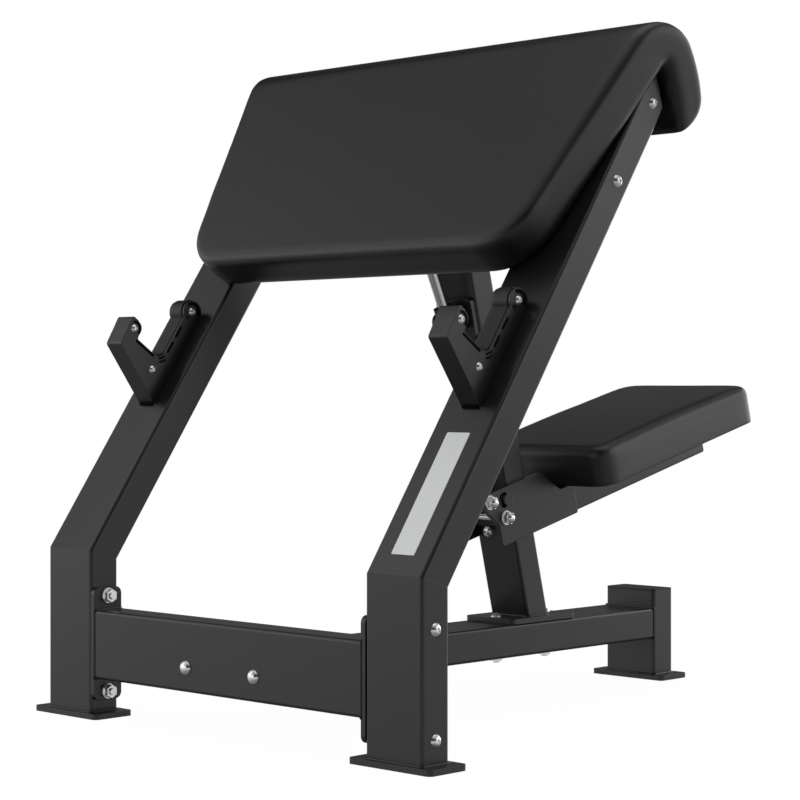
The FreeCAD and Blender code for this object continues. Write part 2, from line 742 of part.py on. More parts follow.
def wood_screw(grip):
    # Low head above z = 0 and a shank through the bracket into the board.
    length = grip + screw_depth
    shank = pin(Vector(0, 0, -length), Vector(0, 0, 1), screw_radius, length)
    return domed(screw_head, screw_head_high).fuse(shank)


def clevis_screws():
    # Corners of a clevis plate that take screws, from the plate's middle.
    rise = clevis_tall / 2 - clevis_rim
    return [Vector(clevis_screw_side * x, 0, rise * z) for x in (-1, 1) for z in (-1, 1)]


def clevis(pin_out, holed):
    # A plate on y = 0 with two ears that carry a pin at the given distance.
    half = clevis_screw_side + clevis_rim
    corners = rectangle(-clevis_tall / 2, clevis_tall / 2, -half, half, clevis_corner)
    solid = slab("y", outline(corners), 0, clevis_thick)
    if holed:
        solid = drilled(solid, clevis_screws(), Vector(0, 1, 0), screw_radius + hole_clearance)
    tongue = clevis_ear_radius
    corners = rectangle(clevis_thick, pin_out, -tongue, tongue)
    ear = slab("x", outline(corners), ear_inside, ear_inside + clevis_ear)
    ear = ear.fuse(pin(Vector(ear_inside, pin_out, 0), Vector(1, 0, 0), tongue, clevis_ear))
    ear = drilled(ear, [Vector(0, pin_out, 0)], Vector(1, 0, 0), strut_pin_radius + strut_fit)
    return solid.fuse([ear, mirrored(ear)]).removeSplitter()


def strut():
    # A rod with an eye at each end, pinned between the post and the board of the arm pad.
    face_about = Placement(Vector(0, 0, strut_low_rise), Rotation(Vector(0, 0, 1), 180))
    low = post_frame.multVec(Vector(0, -strut_pin_out, strut_low_rise))
    high = mast_frame.multVec(Vector(0, strut_top_out, strut_top_reach))
    along = (high - low).normalize()
    length = high.distanceToPoint(low)
    eye = pin(Vector(-strut_eye_half, 0, 0), Vector(1, 0, 0), strut_eye_radius, 2 * strut_eye_half)
    eye = eye.fuse(Part.makeCylinder(strut_eye_radius, strut_collar_long).common(
        Part.makeBox(2 * strut_eye_half, 2 * strut_eye_radius, strut_collar_long,
                     Vector(-strut_eye_half, -strut_eye_radius, 0))))
    eye = eye.cut(pin(Vector(0, 0, strut_rod_start), Vector(0, 0, 1), strut_radius + strut_fit,
                      strut_collar_long))
    eye = drilled(eye, [Vector(0, 0, 0)], Vector(1, 0, 0), strut_pin_radius + strut_fit)
    half = ear_inside + clevis_ear
    cross_pin = pin(Vector(-half, 0, 0), Vector(1, 0, 0), strut_pin_radius, 2 * half)
    for way in (-1, 1):
        cross_pin = cross_pin.fuse(pin(Vector(half * way, 0, 0), Vector(way, 0, 0),
                                       pin_head_radius, pin_head_thick))
    turn = Rotation(Vector(0, 0, 1), along)
    back_turn = turn.multiply(Rotation(Vector(1, 0, 0), 180))
    rod = pin(Vector(0, 0, strut_rod_start), Vector(0, 0, 1), strut_radius, length - 2 * strut_rod_start)
    pad_clevis = Placement(Vector(0, 0, strut_top_reach), Rotation())
    return {
        "strut_post_bracket": put(clevis(strut_pin_out, False), post_frame.multiply(face_about)),
        "strut_pad_bracket": put(clevis(strut_top_out, True), mast_frame.multiply(pad_clevis)),
        "strut_rod": put(rod, Placement(low, turn)),
        "strut_eyes": group([put(eye, Placement(low, turn)), put(eye, Placement(high, back_turn))]),
        "strut_pins": group([put(cross_pin, Placement(low, turn)), put(cross_pin, Placement(high, turn))]),
    }


def frame_fasteners():
    # Bolts through the legs and masts into the crossbeam flanges, with washers and nuts inside.
    flange_face = inner_x - flange_thick
    stack = frame_width / 2 - flange_face + washer_thick + nut_height + thread_past_nut
    bolts, washers, nuts = [], [], []
    for frame, middle in ((Placement(), lower_beam_height), (mast_frame, upper_beam_reach)):
        for side in (-1, 1):
            for way in (-1, 1):
                line = Vector(0, main_deep / 2, middle + half_pitch * way)
                outward = Vector(side, 0, 0)
                bolt = aim(button_bolt(stack), line + outward * (frame_width / 2), outward)
                bolts.append(put(bolt, frame))
                washers.append(put(aim(washer(), line + outward * flange_face, outward * -1), frame))
                seat = line + outward * (flange_face - washer_thick)
                nuts.append(put(aim(nut(), seat, outward * -1), frame))
    return {
        "crossbeam_bolts": group(bolts),
        "crossbeam_washers": group(washers),
        "crossbeam_nuts": group(nuts),
    }


def beam_fasteners():
    # Bolts of the base beam's flange, the post's foot plate and the post's head plate.
    back = Vector(0, 1, 0)
    down = Vector(0, 0, -1)
    pieces = {}
    stack = main_deep + flange_thick + nut_height + thread_past_nut
    bolts, nuts = [], []
    for way in (-1, 1):
        line = Vector(half_pitch * way, 0, base_beam_height)
        bolts.append(aim(button_bolt(stack), line, back * -1))
        nuts.append(aim(nut(), line + back * (main_deep + flange_thick), back))
    pieces["base_beam_bolts"] = group(bolts)
    pieces["base_beam_nuts"] = group(nuts)

    stack = post_plate_thick + main_deep + washer_thick + nut_height + thread_past_nut
    under = base_beam_height - main_deep / 2
    bolts, nuts = [], []
    for place in post_foot_bolts():
        bolts.append(aim(button_bolt(stack), place + Vector(0, 0, post_plate_thick), down * -1))
        nuts.append(aim(washer(), Vector(place.x, place.y, under), down))
        nuts.append(aim(nut(), Vector(place.x, place.y, under - washer_thick), down))
    pieces["post_foot_bolts"] = group(bolts)
    pieces["post_foot_nuts"] = group(nuts)

    grip = flange_thick + main_wall + nut_height
    bolts, nuts = [], []
    for way in (-1, 1):
        line = Vector(half_pitch * way, 0, head_reach)
        bolts.append(aim(button_bolt(grip), line + back * (main_deep + flange_thick), back))
        weld_nut = Part.makeCylinder(weld_nut_radius, nut_height)
        weld_nut = weld_nut.cut(Part.makeCylinder(bolt_hole, nut_height))
        nuts.append(aim(weld_nut, line + back * (main_deep - main_wall), back * -1))
    pieces["post_head_bolts"] = put(group(bolts), mast_frame)
    pieces["post_head_weld_nuts"] = put(group(nuts), mast_frame)

    stop = button_bolt(stop_out + post_wall)
    sleeve = Part.makeCylinder(stop_radius, stop_out).cut(Part.makeCylinder(bolt_hole, stop_out))
    sleeve.translate(Vector(0, 0, -stop_out))
    front = Vector(0, -stop_out, stop_rise)
    pieces["carriage_stop"] = put(group([aim(stop, front, back * -1), aim(sleeve, front, back * -1)]),
                                  post_frame)
    return pieces


def carriage():
    # Side plates either side of the post, tied by two bolts, with glide blocks and the seat arm.
    step = arm_top - carriage_heel_drop
    rear = carriage_heel + carriage_tail
    profile = [(rear, carriage_low, carriage_corner), (-carriage_front, carriage_low, carriage_corner),
               (-carriage_front, carriage_low + carriage_chin_rise, chin_round),
               (-carriage_nose, carriage_top - carriage_nose_tall, nose_round),
               (-carriage_nose + carriage_nose_rake, carriage_top, brow_round),
               (carriage_shoulder, carriage_top, shoulder_round),
               (carriage_heel, step, heel_round), (rear, step, carriage_corner)]
    bolt_lines = [Vector(0, upper_bolt_inset - carriage_nose, carriage_top - upper_bolt_drop),
                  Vector(0, -lower_bolt_ahead, carriage_low + lower_bolt_rise)]
    side = slab("x", outline(profile), plate_inner_x, plate_outer_x)
    side = drilled(side, bolt_lines, Vector(1, 0, 0), bolt_hole)
    window = pin(Vector(plate_inner_x, -window_ahead, carriage_top - window_drop), Vector(1, 0, 0),
                 window_radius, carriage_thick)
    side = side.cut(window)
    lock = Vector(0, lock_back, lock_rise)
    left = drilled(mirrored(side), [lock], Vector(1, 0, 0), pin_radius + pin_play)

    right = Vector(1, 0, 0)
    stack = 2 * plate_outer_x + washer_thick + nut_height + thread_past_nut - hole_clearance
    bolts, nuts = [], []
    for line in bolt_lines:
        bolts.append(aim(button_bolt(stack), line - right * plate_outer_x, right * -1))
        nuts.append(aim(washer(), line + right * plate_outer_x, right))
        nuts.append(aim(dome_nut(), line + right * (plate_outer_x + washer_thick), right))

    low = stop_rise + stop_radius + stop_gap
    corners = rectangle(-front_glide_out, -glide_gap, low, low + glide_front_tall, glide_corner)
    front_block = slab("x", outline(corners), -plate_inner_x, plate_inner_x)
    arm_start = post_deep + glide_gap + glide_rear_thick
    low = carriage_low + glide_rear_rise
    corners = rectangle(post_deep + glide_gap, arm_start, low, low + glide_rear_tall, glide_corner)
    rear_block = slab("x", outline(corners), -plate_inner_x, plate_inner_x)
    arm = tube("y", carriage_low, arm_top, -plate_inner_x, plate_inner_x, arm_start,
               arm_end - cap_thick, arm_wall, arm_corner)
    up = Vector(0, 0, 1)
    seat_bolt_backs = (seat_front + seat_bolt_inset, seat_rear - seat_bolt_inset)
    places = [Vector(0, back, carriage_low) for back in seat_bolt_backs]
    arm = drilled(arm, places, up, seat_bolt_radius + hole_clearance)
    arm_cap = cap("y", carriage_low, arm_top, -plate_inner_x, plate_inner_x, arm_end - cap_thick,
                  arm_wall, arm_corner)
    pieces = {
        "carriage_left_plate": left,
        "carriage_right_plate": side,
        "carriage_bolts": group(bolts),
        "carriage_dome_nuts": group(nuts),
        "carriage_glides": group([front_block, rear_block]),
        "seat_arm": arm,
        "seat_arm_cap": arm_cap,
    }
    pieces.update(seat(places))
    pieces.update(lock_pin(lock))
    return {name: put(shape, post_frame) for name, shape in pieces.items()}


def seat(bolt_places):
    # A board on the arm, wrapped by the cushion and held by bolts through the arm.
    half = seat_wide / 2
    inset = seat_board_inset
    board_plan = rectangle(-half + inset, half - inset, seat_front + inset, seat_rear - inset,
                           seat_board_corner)
    board_top = arm_top + seat_board_thick
    board = slab("z", outline(board_plan), arm_top, board_top)
    wide = inset - soft_gap
    pocket_plan = rectangle(-half + wide, half - wide, seat_front + wide, seat_rear - wide,
                            seat_board_corner)
    pocket = slab("z", outline(pocket_plan), arm_top, board_top + soft_gap)
    low = arm_top + soft_gap
    high = arm_top + seat_thick
    edge_high = high - seat_crown
    middle = (seat_front + seat_rear) / 2
    crown = [straight(seat_front, edge_high, seat_front, low), straight(seat_front, low, seat_rear, low),
             straight(seat_rear, low, seat_rear, edge_high),
             arc(Vector(seat_rear, edge_high, 0), Vector(middle, high, 0),
                 Vector(seat_front, edge_high, 0))]
    body = slab("x", Part.Wire(crown), -seat_wide, seat_wide)
    drawn = half - seat_draw
    plan = Part.Wire([
        straight(-half, seat_front, half, seat_front),
        arc(Vector(half, seat_front, 0), Vector(drawn, middle, 0), Vector(half, seat_rear, 0)),
        straight(half, seat_rear, -half, seat_rear),
        arc(Vector(-half, seat_rear, 0), Vector(-drawn, middle, 0), Vector(-half, seat_front, 0))])
    cushion = slab("z", plan, low, high + seat_thick).common(body)
    cushion = cushion.makeFillet(seat_corner, [edge for edge in cushion.Edges if is_vertical(edge)])
    top_rim = [edge for edge in cushion.Edges if edge.BoundBox.ZMin > low + seat_edge]
    cushion = cushion.makeFillet(seat_edge, top_rim).cut(pocket)
    length = arm_tall + seat_bolt_depth
    bolt = button_bolt(length, seat_bolt_radius, hook_bolt_head, hook_bolt_dome)
    bolts = []
    for place in bolt_places:
        bolts.append(aim(bolt, place, Vector(0, 0, -1)))
        board = board.cut(pin(place, Vector(0, 0, 1), seat_bolt_radius + hole_clearance,
                              length + hole_clearance))
    return {"seat_board": board, "seat_cushion": cushion, "seat_bolts": group(bolts)}


def is_vertical(edge):
    box = edge.BoundBox
    return box.ZLength > 1 and box.XLength < 1e-6 and box.YLength < 1e-6


def tangent_arc(start, corner, end):
    # The arc that leaves start towards a corner and reaches end coming from it, both equally far.
    run = start.distanceToPoint(corner)
    back = (start - corner).normalize()
    ahead = (end - corner).normalize()
    half = back.getAngle(ahead) / 2
    inward = (back + ahead).normalize()
    return arc(start, corner + inward * (run / math.cos(half) - run * math.tan(half)), end)


def coil_path(radius, pitch, turns):
    # A helix up Z from (radius, 0, 0), as two tangent arcs for each half turn.
    climb = pitch / (2 * math.pi)
    ends = []
    for i in range(2 * turns + 1):
        turn = math.pi * i
        place = Vector(radius * math.cos(turn), radius * math.sin(turn), climb * turn)
        heading = Vector(-radius * math.sin(turn), radius * math.cos(turn), climb).normalize()
        ends.append((place, heading))
    edges = []
    for (start, leaving), (end, coming) in zip(ends, ends[1:]):
        chord = end - start
        bend = 2 * (1 - leaving.dot(coming))
        along = chord.dot(leaving + coming)
        arm = (math.sqrt(along ** 2 + bend * chord.dot(chord)) - along) / bend
        first = start + leaving * arm
        last = end - coming * arm
        middle = (first + last) / 2
        edges.append(tangent_arc(start, first, middle))
        edges.append(tangent_arc(middle, last, end))
    return Part.Wire(edges)


def lock_pin(middle):
    # Sprung pull pin: a barrel on the left plate, the pin with its collar, a spring and a knob.
    out = Vector(-1, 0, 0)
    foot = middle + out * plate_outer_x
    barrel = pin(foot, out, chamber_radius + barrel_wall, barrel_long)
    barrel = barrel.cut(pin(foot + out * barrel_end, out, chamber_radius, chamber_long))
    barrel = drilled(barrel, [middle], out, pin_radius + pin_play)
    tip = middle + out * (post_wide / 2 - pin_reach)
    knob_foot = foot + out * (barrel_long + knob_gap)
    shank = pin(tip, out, pin_radius, knob_foot.distanceToPoint(tip) + knob_long / 2)
    collar_foot = foot + out * (barrel_end + collar_play)
    knob = pin(knob_foot, out, knob_radius, knob_long)
    knob = knob.makeFillet(knob_edge, [edge for edge in knob.Edges if is_ring(edge)])
    coil_start = collar_foot + out * (collar_thick + spring_gap + spring_wire)
    span = chamber_long - collar_play - collar_thick - 2 * (spring_gap + spring_wire)
    coil_radius = (pin_radius + chamber_radius) / 2
    pitch = span / spring_turns
    heading = Vector(0, 2 * math.pi * coil_radius, pitch)
    wire_end = Part.Wire(Part.makeCircle(spring_wire, Vector(coil_radius, 0, 0), heading))
    spring = coil_path(coil_radius, pitch, spring_turns).makePipeShell([wire_end], True, False)
    return {
        "lock_pin_barrel": barrel,
        "lock_pin_shaft": shank.fuse(pin(collar_foot, out, collar_radius, collar_thick)),
        "lock_pin_knob": knob.cut(shank),
        "lock_pin_spring": aim(spring, coil_start, out),
    }


def is_ring(edge):
    return len(edge.Vertexes) == 1


def build():
    pieces = {}
    for make in (legs, rear_foot, beams, seat_post, hooks, name_plate, arm_pad, strut,
                 frame_fasteners, beam_fasteners, carriage):
        pieces.update(make())
    return pieces


def middle_y():
    # The origin lies under the middle of the bench, between its foremost and rearmost points.
    front = -foot_plate_front
    seat_end = post_frame.multVec(Vector(0, seat_rear, arm_top + soft_gap)).y
    foot_end = rear_foot_y + main_deep + foot_plate_front
    return (front + max(seat_end, foot_end)) / 2


def export(pieces):
    os.makedirs("parts", exist_ok=True)
    home = Placement(Vector(0, -middle_y(), 0), Rotation())
    for name, shape in pieces.items():
        put(shape, home).exportStep(os.path.join("parts", name + ".step"))
    print(len(pieces), "nodes, origin at", round(middle_y(), 2), "behind the front of the legs")


export(build())
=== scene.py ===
import math

import bmesh
import bpy
import numpy
from mathutils import Matrix, Vector


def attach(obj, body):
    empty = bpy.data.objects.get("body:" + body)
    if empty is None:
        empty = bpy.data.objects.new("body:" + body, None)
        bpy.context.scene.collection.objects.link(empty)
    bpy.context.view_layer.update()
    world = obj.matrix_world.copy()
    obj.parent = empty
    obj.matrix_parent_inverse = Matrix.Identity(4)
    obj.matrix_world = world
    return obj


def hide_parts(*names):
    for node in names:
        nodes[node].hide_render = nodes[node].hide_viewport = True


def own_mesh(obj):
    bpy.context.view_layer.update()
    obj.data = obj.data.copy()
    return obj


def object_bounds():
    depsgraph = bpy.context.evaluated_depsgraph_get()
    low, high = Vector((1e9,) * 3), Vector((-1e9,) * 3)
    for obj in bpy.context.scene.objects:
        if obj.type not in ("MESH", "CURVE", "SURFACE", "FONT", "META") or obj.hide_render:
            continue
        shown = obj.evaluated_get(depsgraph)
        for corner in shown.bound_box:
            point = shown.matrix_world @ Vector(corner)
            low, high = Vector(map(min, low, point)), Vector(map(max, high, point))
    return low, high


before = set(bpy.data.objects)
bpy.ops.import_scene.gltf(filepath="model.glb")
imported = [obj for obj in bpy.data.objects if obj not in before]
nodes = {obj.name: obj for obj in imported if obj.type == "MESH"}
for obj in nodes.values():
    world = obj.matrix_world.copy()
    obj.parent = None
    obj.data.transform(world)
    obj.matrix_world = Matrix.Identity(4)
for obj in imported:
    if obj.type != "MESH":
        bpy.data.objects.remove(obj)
cadLow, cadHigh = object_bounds()
scene = bpy.context.scene

# the two slants of the bench: masts lean back, the seat post leans forward
mastLean = math.radians(34.7)
postLean = math.radians(14.2)
flatTurn = Matrix.Identity(3)
mastTurn = Matrix.Rotation(-mastLean, 3, "X")
postTurn = Matrix.Rotation(postLean, 3, "X")
print("frame loaded:", len(nodes), "nodes")


class Value:
    # a socket that takes plain maths
    def __init__(self, paint, socket):
        self.paint = paint
        self.socket = socket

    def maths(self, operation, first, second):
        return self.paint.node("ShaderNodeMath", {"operation": operation}, {0: first, 1: second})

    def __add__(self, other):
        return self.maths("ADD", self, other)

    def __radd__(self, other):
        return self.maths("ADD", other, self)

    def __sub__(self, other):
        return self.maths("SUBTRACT", self, other)

    def __rsub__(self, other):
        return self.maths("SUBTRACT", other, self)

    def __mul__(self, other):
        return self.maths("MULTIPLY", self, other)

    def __rmul__(self, other):
        return self.maths("MULTIPLY", other, self)

    def __pow__(self, other):
        return self.maths("POWER", self, other)

    def swing(self, size):
        # a noise taken about its middle value
        return (self - 0.5) * size

    def atMost(self, other):
        return self.maths("MINIMUM", self, other)

    def atLeast(self, other):
        return self.maths("MAXIMUM", self, other)

    def out(self, name):
        return Value(self.paint, self.socket.node.outputs[name])


class Paint:
    # the node tree of a material or of the world
    def __init__(self, owner):
        owner.use_nodes = True
        self.owner = owner
        self.tree = owner.node_tree
        self.tree.nodes.clear()

    def node(self, kind, settings=None, sockets=None, output=0):
        made = self.tree.nodes.new(kind)
        for key, value in (settings or {}).items():
            if key == "stops":
                self.setStops(made.color_ramp, value)
            else:
                setattr(made, key, value)
        for key, value in (sockets or {}).items():
            if isinstance(value, Value):
                self.tree.links.new(value.socket, made.inputs[key])
            else:
                made.inputs[key].default_value = value
        return Value(self, made.outputs[output]) if made.outputs else made

    def setStops(self, ramp, stops):
        for place, level in stops[1:-1]:
            ramp.elements.new(place)
        for element, (place, level) in zip(ramp.elements, stops):
            element.position = place
            element.color = (level, level, level, 1)

    def place(self, stretch=(1, 1, 1)):
        spot = self.node("ShaderNodeTexCoord", output="Object")
        return self.node("ShaderNodeMapping", None, {"Vector": spot, "Scale": stretch})

    def noise(self, where, scale, detail, rough=0.5):
        return self.node("ShaderNodeTexNoise", None,
                         {"Vector": where, "Scale": scale, "Detail": detail, "Roughness": rough})

    def cells(self, where, scale, feature="F1"):
        return self.node("ShaderNodeTexVoronoi", {"feature": feature},
                         {"Vector": where, "Scale": scale}, "Distance")

    def ramp(self, value, stops):
        return self.node("ShaderNodeValToRGB", {"stops": stops}, {"Fac": value})

    def tint(self, factor, first, second):
        return self.node("ShaderNodeMix", {"data_type": "RGBA"}, {0: factor, 6: first, 7: second}, 2)

    def bump(self, height, depth, strength, normal=None):
        sockets = {"Height": height, "Distance": depth, "Strength": strength}
        if normal is not None:
            sockets["Normal"] = normal
        return self.node("ShaderNodeBump", None, sockets)

    def roundEdges(self, radius):
        return self.node("ShaderNodeBevel", {"samples": 6}, {"Radius": radius})

    def edgeMask(self, softNormal, gain):
        flat = self.node("ShaderNodeNewGeometry", output="Normal")
        same = self.node("ShaderNodeVectorMath", {"operation": "DOT_PRODUCT"},
                         {0: softNormal, 1: flat}, "Value")
        return ((1 - same) * gain).atMost(1.0).atLeast(0.0)

    def finish(self, **sockets):
        plain = {key.replace("_", " "): value for key, value in sockets.items()}
        shader = self.node("ShaderNodeBsdfPrincipled", None, plain)
        self.node("ShaderNodeOutputMaterial", None, {"Surface": shader})
        return self.owner


def grey(level):
    return (level, level, level, 1)


def newPaint(name):
    return Paint(bpy.data.materials.new(name))


def powderCoat():
    # edge is a lighter colour for the rounded edges: partly worn coat, partly a painted highlight
    look = {"dark": 0.007, "light": 0.010, "edge": 0.012, "edgeRadius": 0.0012, "edgeGain": 3.0,
            "edgeWearAndHighlightShare": 0.5, "rough": 0.31, "roughVary": 0.10, "ior": 1.56, "drift": 7,
            "peel": 420, "grit": 1500, "gritShare": 0.3,          # orange peel, about 2 mm
            "depth": 0.00006, "strength": 0.6}
    paint = newPaint("satin_powder_coat")
    spot = paint.place()
    peel = paint.noise(spot, look["peel"], 3)
    grit = paint.noise(spot, look["grit"], 1)
    drift = paint.noise(spot, look["drift"], 3)
    soft = paint.roundEdges(look["edgeRadius"])
    edge = paint.edgeMask(soft, look["edgeGain"])
    body = paint.tint(drift, grey(look["dark"]), grey(look["light"]))
    # the rounded edges are lightened in the colour: partly worn coat, partly a painted highlight along
    # them
    colour = paint.tint(edge * look["edgeWearAndHighlightShare"], body, grey(look["edge"]))
    rough = look["rough"] + drift.swing(look["roughVary"]) + peel.swing(look["roughVary"])
    relief = paint.bump(peel + grit * look["gritShare"], look["depth"], look["strength"], soft)
    return paint.finish(Base_Color=colour, Roughness=rough, Normal=relief, IOR=look["ior"])


def mouldedPlastic():
    look = {"dark": 0.005, "light": 0.009, "rough": 0.45, "roughVary": 0.12, "grain": 1300, "drift": 30,
            "depth": 0.00005, "strength": 0.5, "edgeRadius": 0.0006}
    paint = newPaint("black_moulded_plastic")
    spot = paint.place()
    grain = paint.cells(spot, look["grain"])
    drift = paint.noise(spot, look["drift"], 3)
    colour = paint.tint(drift, grey(look["dark"]), grey(look["light"]))
    rough = look["rough"] + drift.swing(look["roughVary"])
    relief = paint.bump(grain, look["depth"], look["strength"], paint.roundEdges(look["edgeRadius"]))
    return paint.finish(Base_Color=colour, Roughness=rough, Normal=relief)


def mattBlack():
    look = {"dark": 0.001, "light": 0.003, "rough": 0.85, "roughVary": 0.1, "shine": 0.12, "grain": 900}
    # a near-black finish for marks that stand for shade: painted shade, not a real inlay
    paint = newPaint("painted_shade_black")
    grain = paint.noise(paint.place(), look["grain"], 2)
    colour = paint.tint(grain, grey(look["dark"]), grey(look["light"]))
    rough = look["rough"] + grain.swing(look["roughVary"])
    return paint.finish(Base_Color=colour, Roughness=rough, Specular_IOR_Level=look["shine"])


def brightZinc():
    look = {"metal": (0.97, 0.98, 0.98, 1), "dull": (0.86, 0.87, 0.88, 1), "metallic": 0.85,
            "rough": 0.15, "roughHaze": 0.10, "haze": 160, "hazeRough": 0.6, "grain": 900,
            "depth": 0.00003, "strength": 0.4, "edgeRadius": 0.0005}
    paint = newPaint("bright_plated_steel")
    spot = paint.place()
    haze = paint.noise(spot, look["haze"], 4, look["hazeRough"])
    grain = paint.noise(spot, look["grain"], 2)
    colour = paint.tint(haze, look["metal"], look["dull"])
    rough = look["rough"] + haze * look["roughHaze"]
    relief = paint.bump(grain, look["depth"], look["strength"], paint.roundEdges(look["edgeRadius"]))
    return paint.finish(Base_Color=colour, Metallic=look["metallic"], Roughness=rough, Normal=relief)


def polishedRod():
    look = {"metal": (0.74, 0.75, 0.76, 1), "dull": (0.56, 0.57, 0.58, 1), "rough": 0.10,
            "roughRings": 0.08, "stretch": (60, 60, 900),         # fine turning marks
            "depth": 0.00002, "strength": 0.5}
    paint = newPaint("polished_chrome_rod")
    rings = paint.noise(paint.place(look["stretch"]), 1.0, 2)
    colour = paint.tint(rings, look["metal"], look["dull"])
    rough = look["rough"] + rings * look["roughRings"]
    relief = paint.bump(rings, look["depth"], look["strength"])
    return paint.finish(Base_Color=colour, Metallic=1.0, Roughness=rough, Normal=relief)


def leatherette():
    look = {"dark": 0.003, "light": 0.007, "drift": 5, "driftShare": 0.6, "pebbleShare": 0.4,
            "rough": 0.40, "roughWander": 0.12, "roughPebble": 0.06, "ior": 1.6,
            "wander": 240, "pebble": 720, "crease": 310,          # grain of about 1.4 mm
            "pebbleHigh": -0.7, "creaseEdge": 0.12, "creaseHigh": 2.0, "wanderHigh": 0.4,
            "depth": 0.00010, "strength": 0.7}
    paint = newPaint("black_leatherette")
    spot = paint.place()
    wander = paint.noise(spot, look["wander"], 2)
    pebble = paint.cells(spot, look["pebble"], "SMOOTH_F1")
    crease = paint.cells(spot, look["crease"], "DISTANCE_TO_EDGE").atMost(look["creaseEdge"])
    drift = paint.noise(spot, look["drift"], 3)
    mottle = drift * look["driftShare"] + pebble * look["pebbleShare"]
    colour = paint.tint(mottle, grey(look["light"]), grey(look["dark"]))
    rough = look["rough"] + wander.swing(look["roughWander"]) + pebble * look["roughPebble"]
    height = pebble * look["pebbleHigh"] + crease * look["creaseHigh"] + wander * look["wanderHigh"]
    relief = paint.bump(height, look["depth"], look["strength"])
    return paint.finish(Base_Color=colour, Roughness=rough, Normal=relief, IOR=look["ior"])


def plywood():
    look = {"early": (0.50, 0.34, 0.19, 1), "late": (0.32, 0.19, 0.09, 1), "rough": 0.62,
            "roughPores": 0.2, "figure": 9, "figureRough": 0.6, "figureStretch": (1.4, 16, 16),
            "bands": [(0.3, 0), (0.55, 0.7), (0.75, 1)], "pores": 4, "poreStretch": (20, 240, 240),
            "depth": 0.0001, "strength": 0.5}
    paint = newPaint("birch_plywood")
    figure = paint.noise(paint.place(look["figureStretch"]), look["figure"], 5, look["figureRough"])
    pores = paint.noise(paint.place(look["poreStretch"]), look["pores"], 2)
    colour = paint.tint(paint.ramp(figure, look["bands"]), look["early"], look["late"])
    rough = look["rough"] + pores.swing(look["roughPores"])
    relief = paint.bump(pores, look["depth"], look["strength"])
    return paint.finish(Base_Color=colour, Roughness=rough, Normal=relief)


def brushedPlate():
    look = {"light": (0.97, 0.99, 0.99, 1), "dark": (0.91, 0.93, 0.93, 1), "metallic": 0.05,
            "rough": 0.42, "roughLines": 0.15, "lineStretch": (900, 12, 12), "lineShare": 0.6,
            "drift": 14, "driftShare": 0.4, "depth": 0.00003, "strength": 0.5, "edgeRadius": 0.0004}
    paint = newPaint("brushed_aluminium_plate")
    lines = paint.noise(paint.place(look["lineStretch"]), 1.0, 3)
    drift = paint.noise(paint.place(), look["drift"], 2)
    mottle = lines * look["lineShare"] + drift * look["driftShare"]
    colour = paint.tint(mottle, look["light"], look["dark"])
    rough = look["rough"] + lines.swing(look["roughLines"])
    relief = paint.bump(lines, look["depth"], look["strength"], paint.roundEdges(look["edgeRadius"]))
    return paint.finish(Base_Color=colour, Metallic=look["metallic"], Roughness=rough, Normal=relief)


def springSteel():
    look = {"metal": (0.42, 0.41, 0.40, 1), "dull": (0.25, 0.24, 0.23, 1), "rough": 0.28,
            "roughStreak": 0.12, "streak": 700}
    paint = newPaint("drawn_spring_steel")
    streak = paint.noise(paint.place(), look["streak"], 3)
    colour = paint.tint(streak, look["metal"], look["dull"])
    rough = look["rough"] + streak * look["roughStreak"]
    return paint.finish(Base_Color=colour, Metallic=1.0, Roughness=rough)


finishes = {
    "frame_powder_coat": powderCoat(),
    "black_plastic": mouldedPlastic(),
    "matt_black": mattBlack(),
    "bright_fasteners": brightZinc(),
    "chrome_rod": polishedRod(),
    "pad_vinyl": leatherette(),
    "plywood": plywood(),
    "bare_plate": brushedPlate(),
    "spring_steel": springSteel(),
}
for node in nodes.values():
    for slot in node.material_slots:
        slot.material = finishes[slot.material.name]
print("finishes:", len(finishes))

creaseAngle = math.radians(35)      # an edge sharper than this stays crisp
closeBy = 0.0001                    # nearer than this counts as the same place


def addPiece(name, mesh, body, slot):
    piece = bpy.data.objects.new(name, mesh)
    scene.collection.objects.link(piece)
    mesh.materials.clear()
    mesh.materials.append(finishes[slot])
    for face in mesh.polygons:
        face.use_smooth = True
    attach(piece, body)
    return piece


def toMesh(bm, name):
    mesh = bpy.data.meshes.new(name)
    bm.to_mesh(mesh)
    bm.free()
    return mesh


def addFitting(bm, name, body, slot, place):
    # a small hard piece, put in its place, with flat faces that stay flat under smooth shading
    bmesh.ops.recalc_face_normals(bm, faces=bm.faces)
    bmesh.ops.transform(bm, matrix=place, verts=bm.verts)
    piece = addPiece(name, toMesh(bm, name), body, slot)
    piece.data.set_sharp_from_angle(angle=creaseAngle)
    return piece


def edgesOf(verts):
    return list(dict.fromkeys(edge for vertex in verts for edge in vertex.link_edges))


def roundOff(bm, edges, size, segments):
    bmesh.ops.bevel(bm, geom=edges, offset=size, segments=segments, profile=0.5, affect="EDGES",
                    material=-1)


def disc(bm, sides, radius):
    return bmesh.ops.create_circle(bm, cap_ends=True, segments=sides, radius=radius)["verts"]


def drawOut(bm, face, inside):
    # one more length of a run; the face it grew from goes where it would be left inside
    grown = bmesh.ops.extrude_face_region(bm, geom=[face])["geom"]
    if inside:
        bmesh.ops.delete(bm, geom=[face], context="FACES_ONLY")
    return [item for item in grown if isinstance(item, bmesh.types.BMFace)][0]


def spinFace(bm, face, middle, angle, steps, shift=(0, 0, 0)):
    # carries a face round a line from side to side, and along it for a coil
    geom = [face] + list(face.edges) + list(face.verts)
    bmesh.ops.spin(bm, geom=geom, cent=middle, axis=(1, 0, 0), dvec=shift, angle=angle, steps=steps)


# cushions: the solid's own form, remeshed square to its board, swollen as foam under vinyl
def isHeld(spot, settings, depth):
    # lies on the plane that the cushion rests on, not on the lip that hangs behind it
    axis, side, level = settings["seatPlane"]
    past = (spot[axis] - level) * side
    return -depth < past < settings["flatDepth"] and spot.z < settings["flatUpTo"]


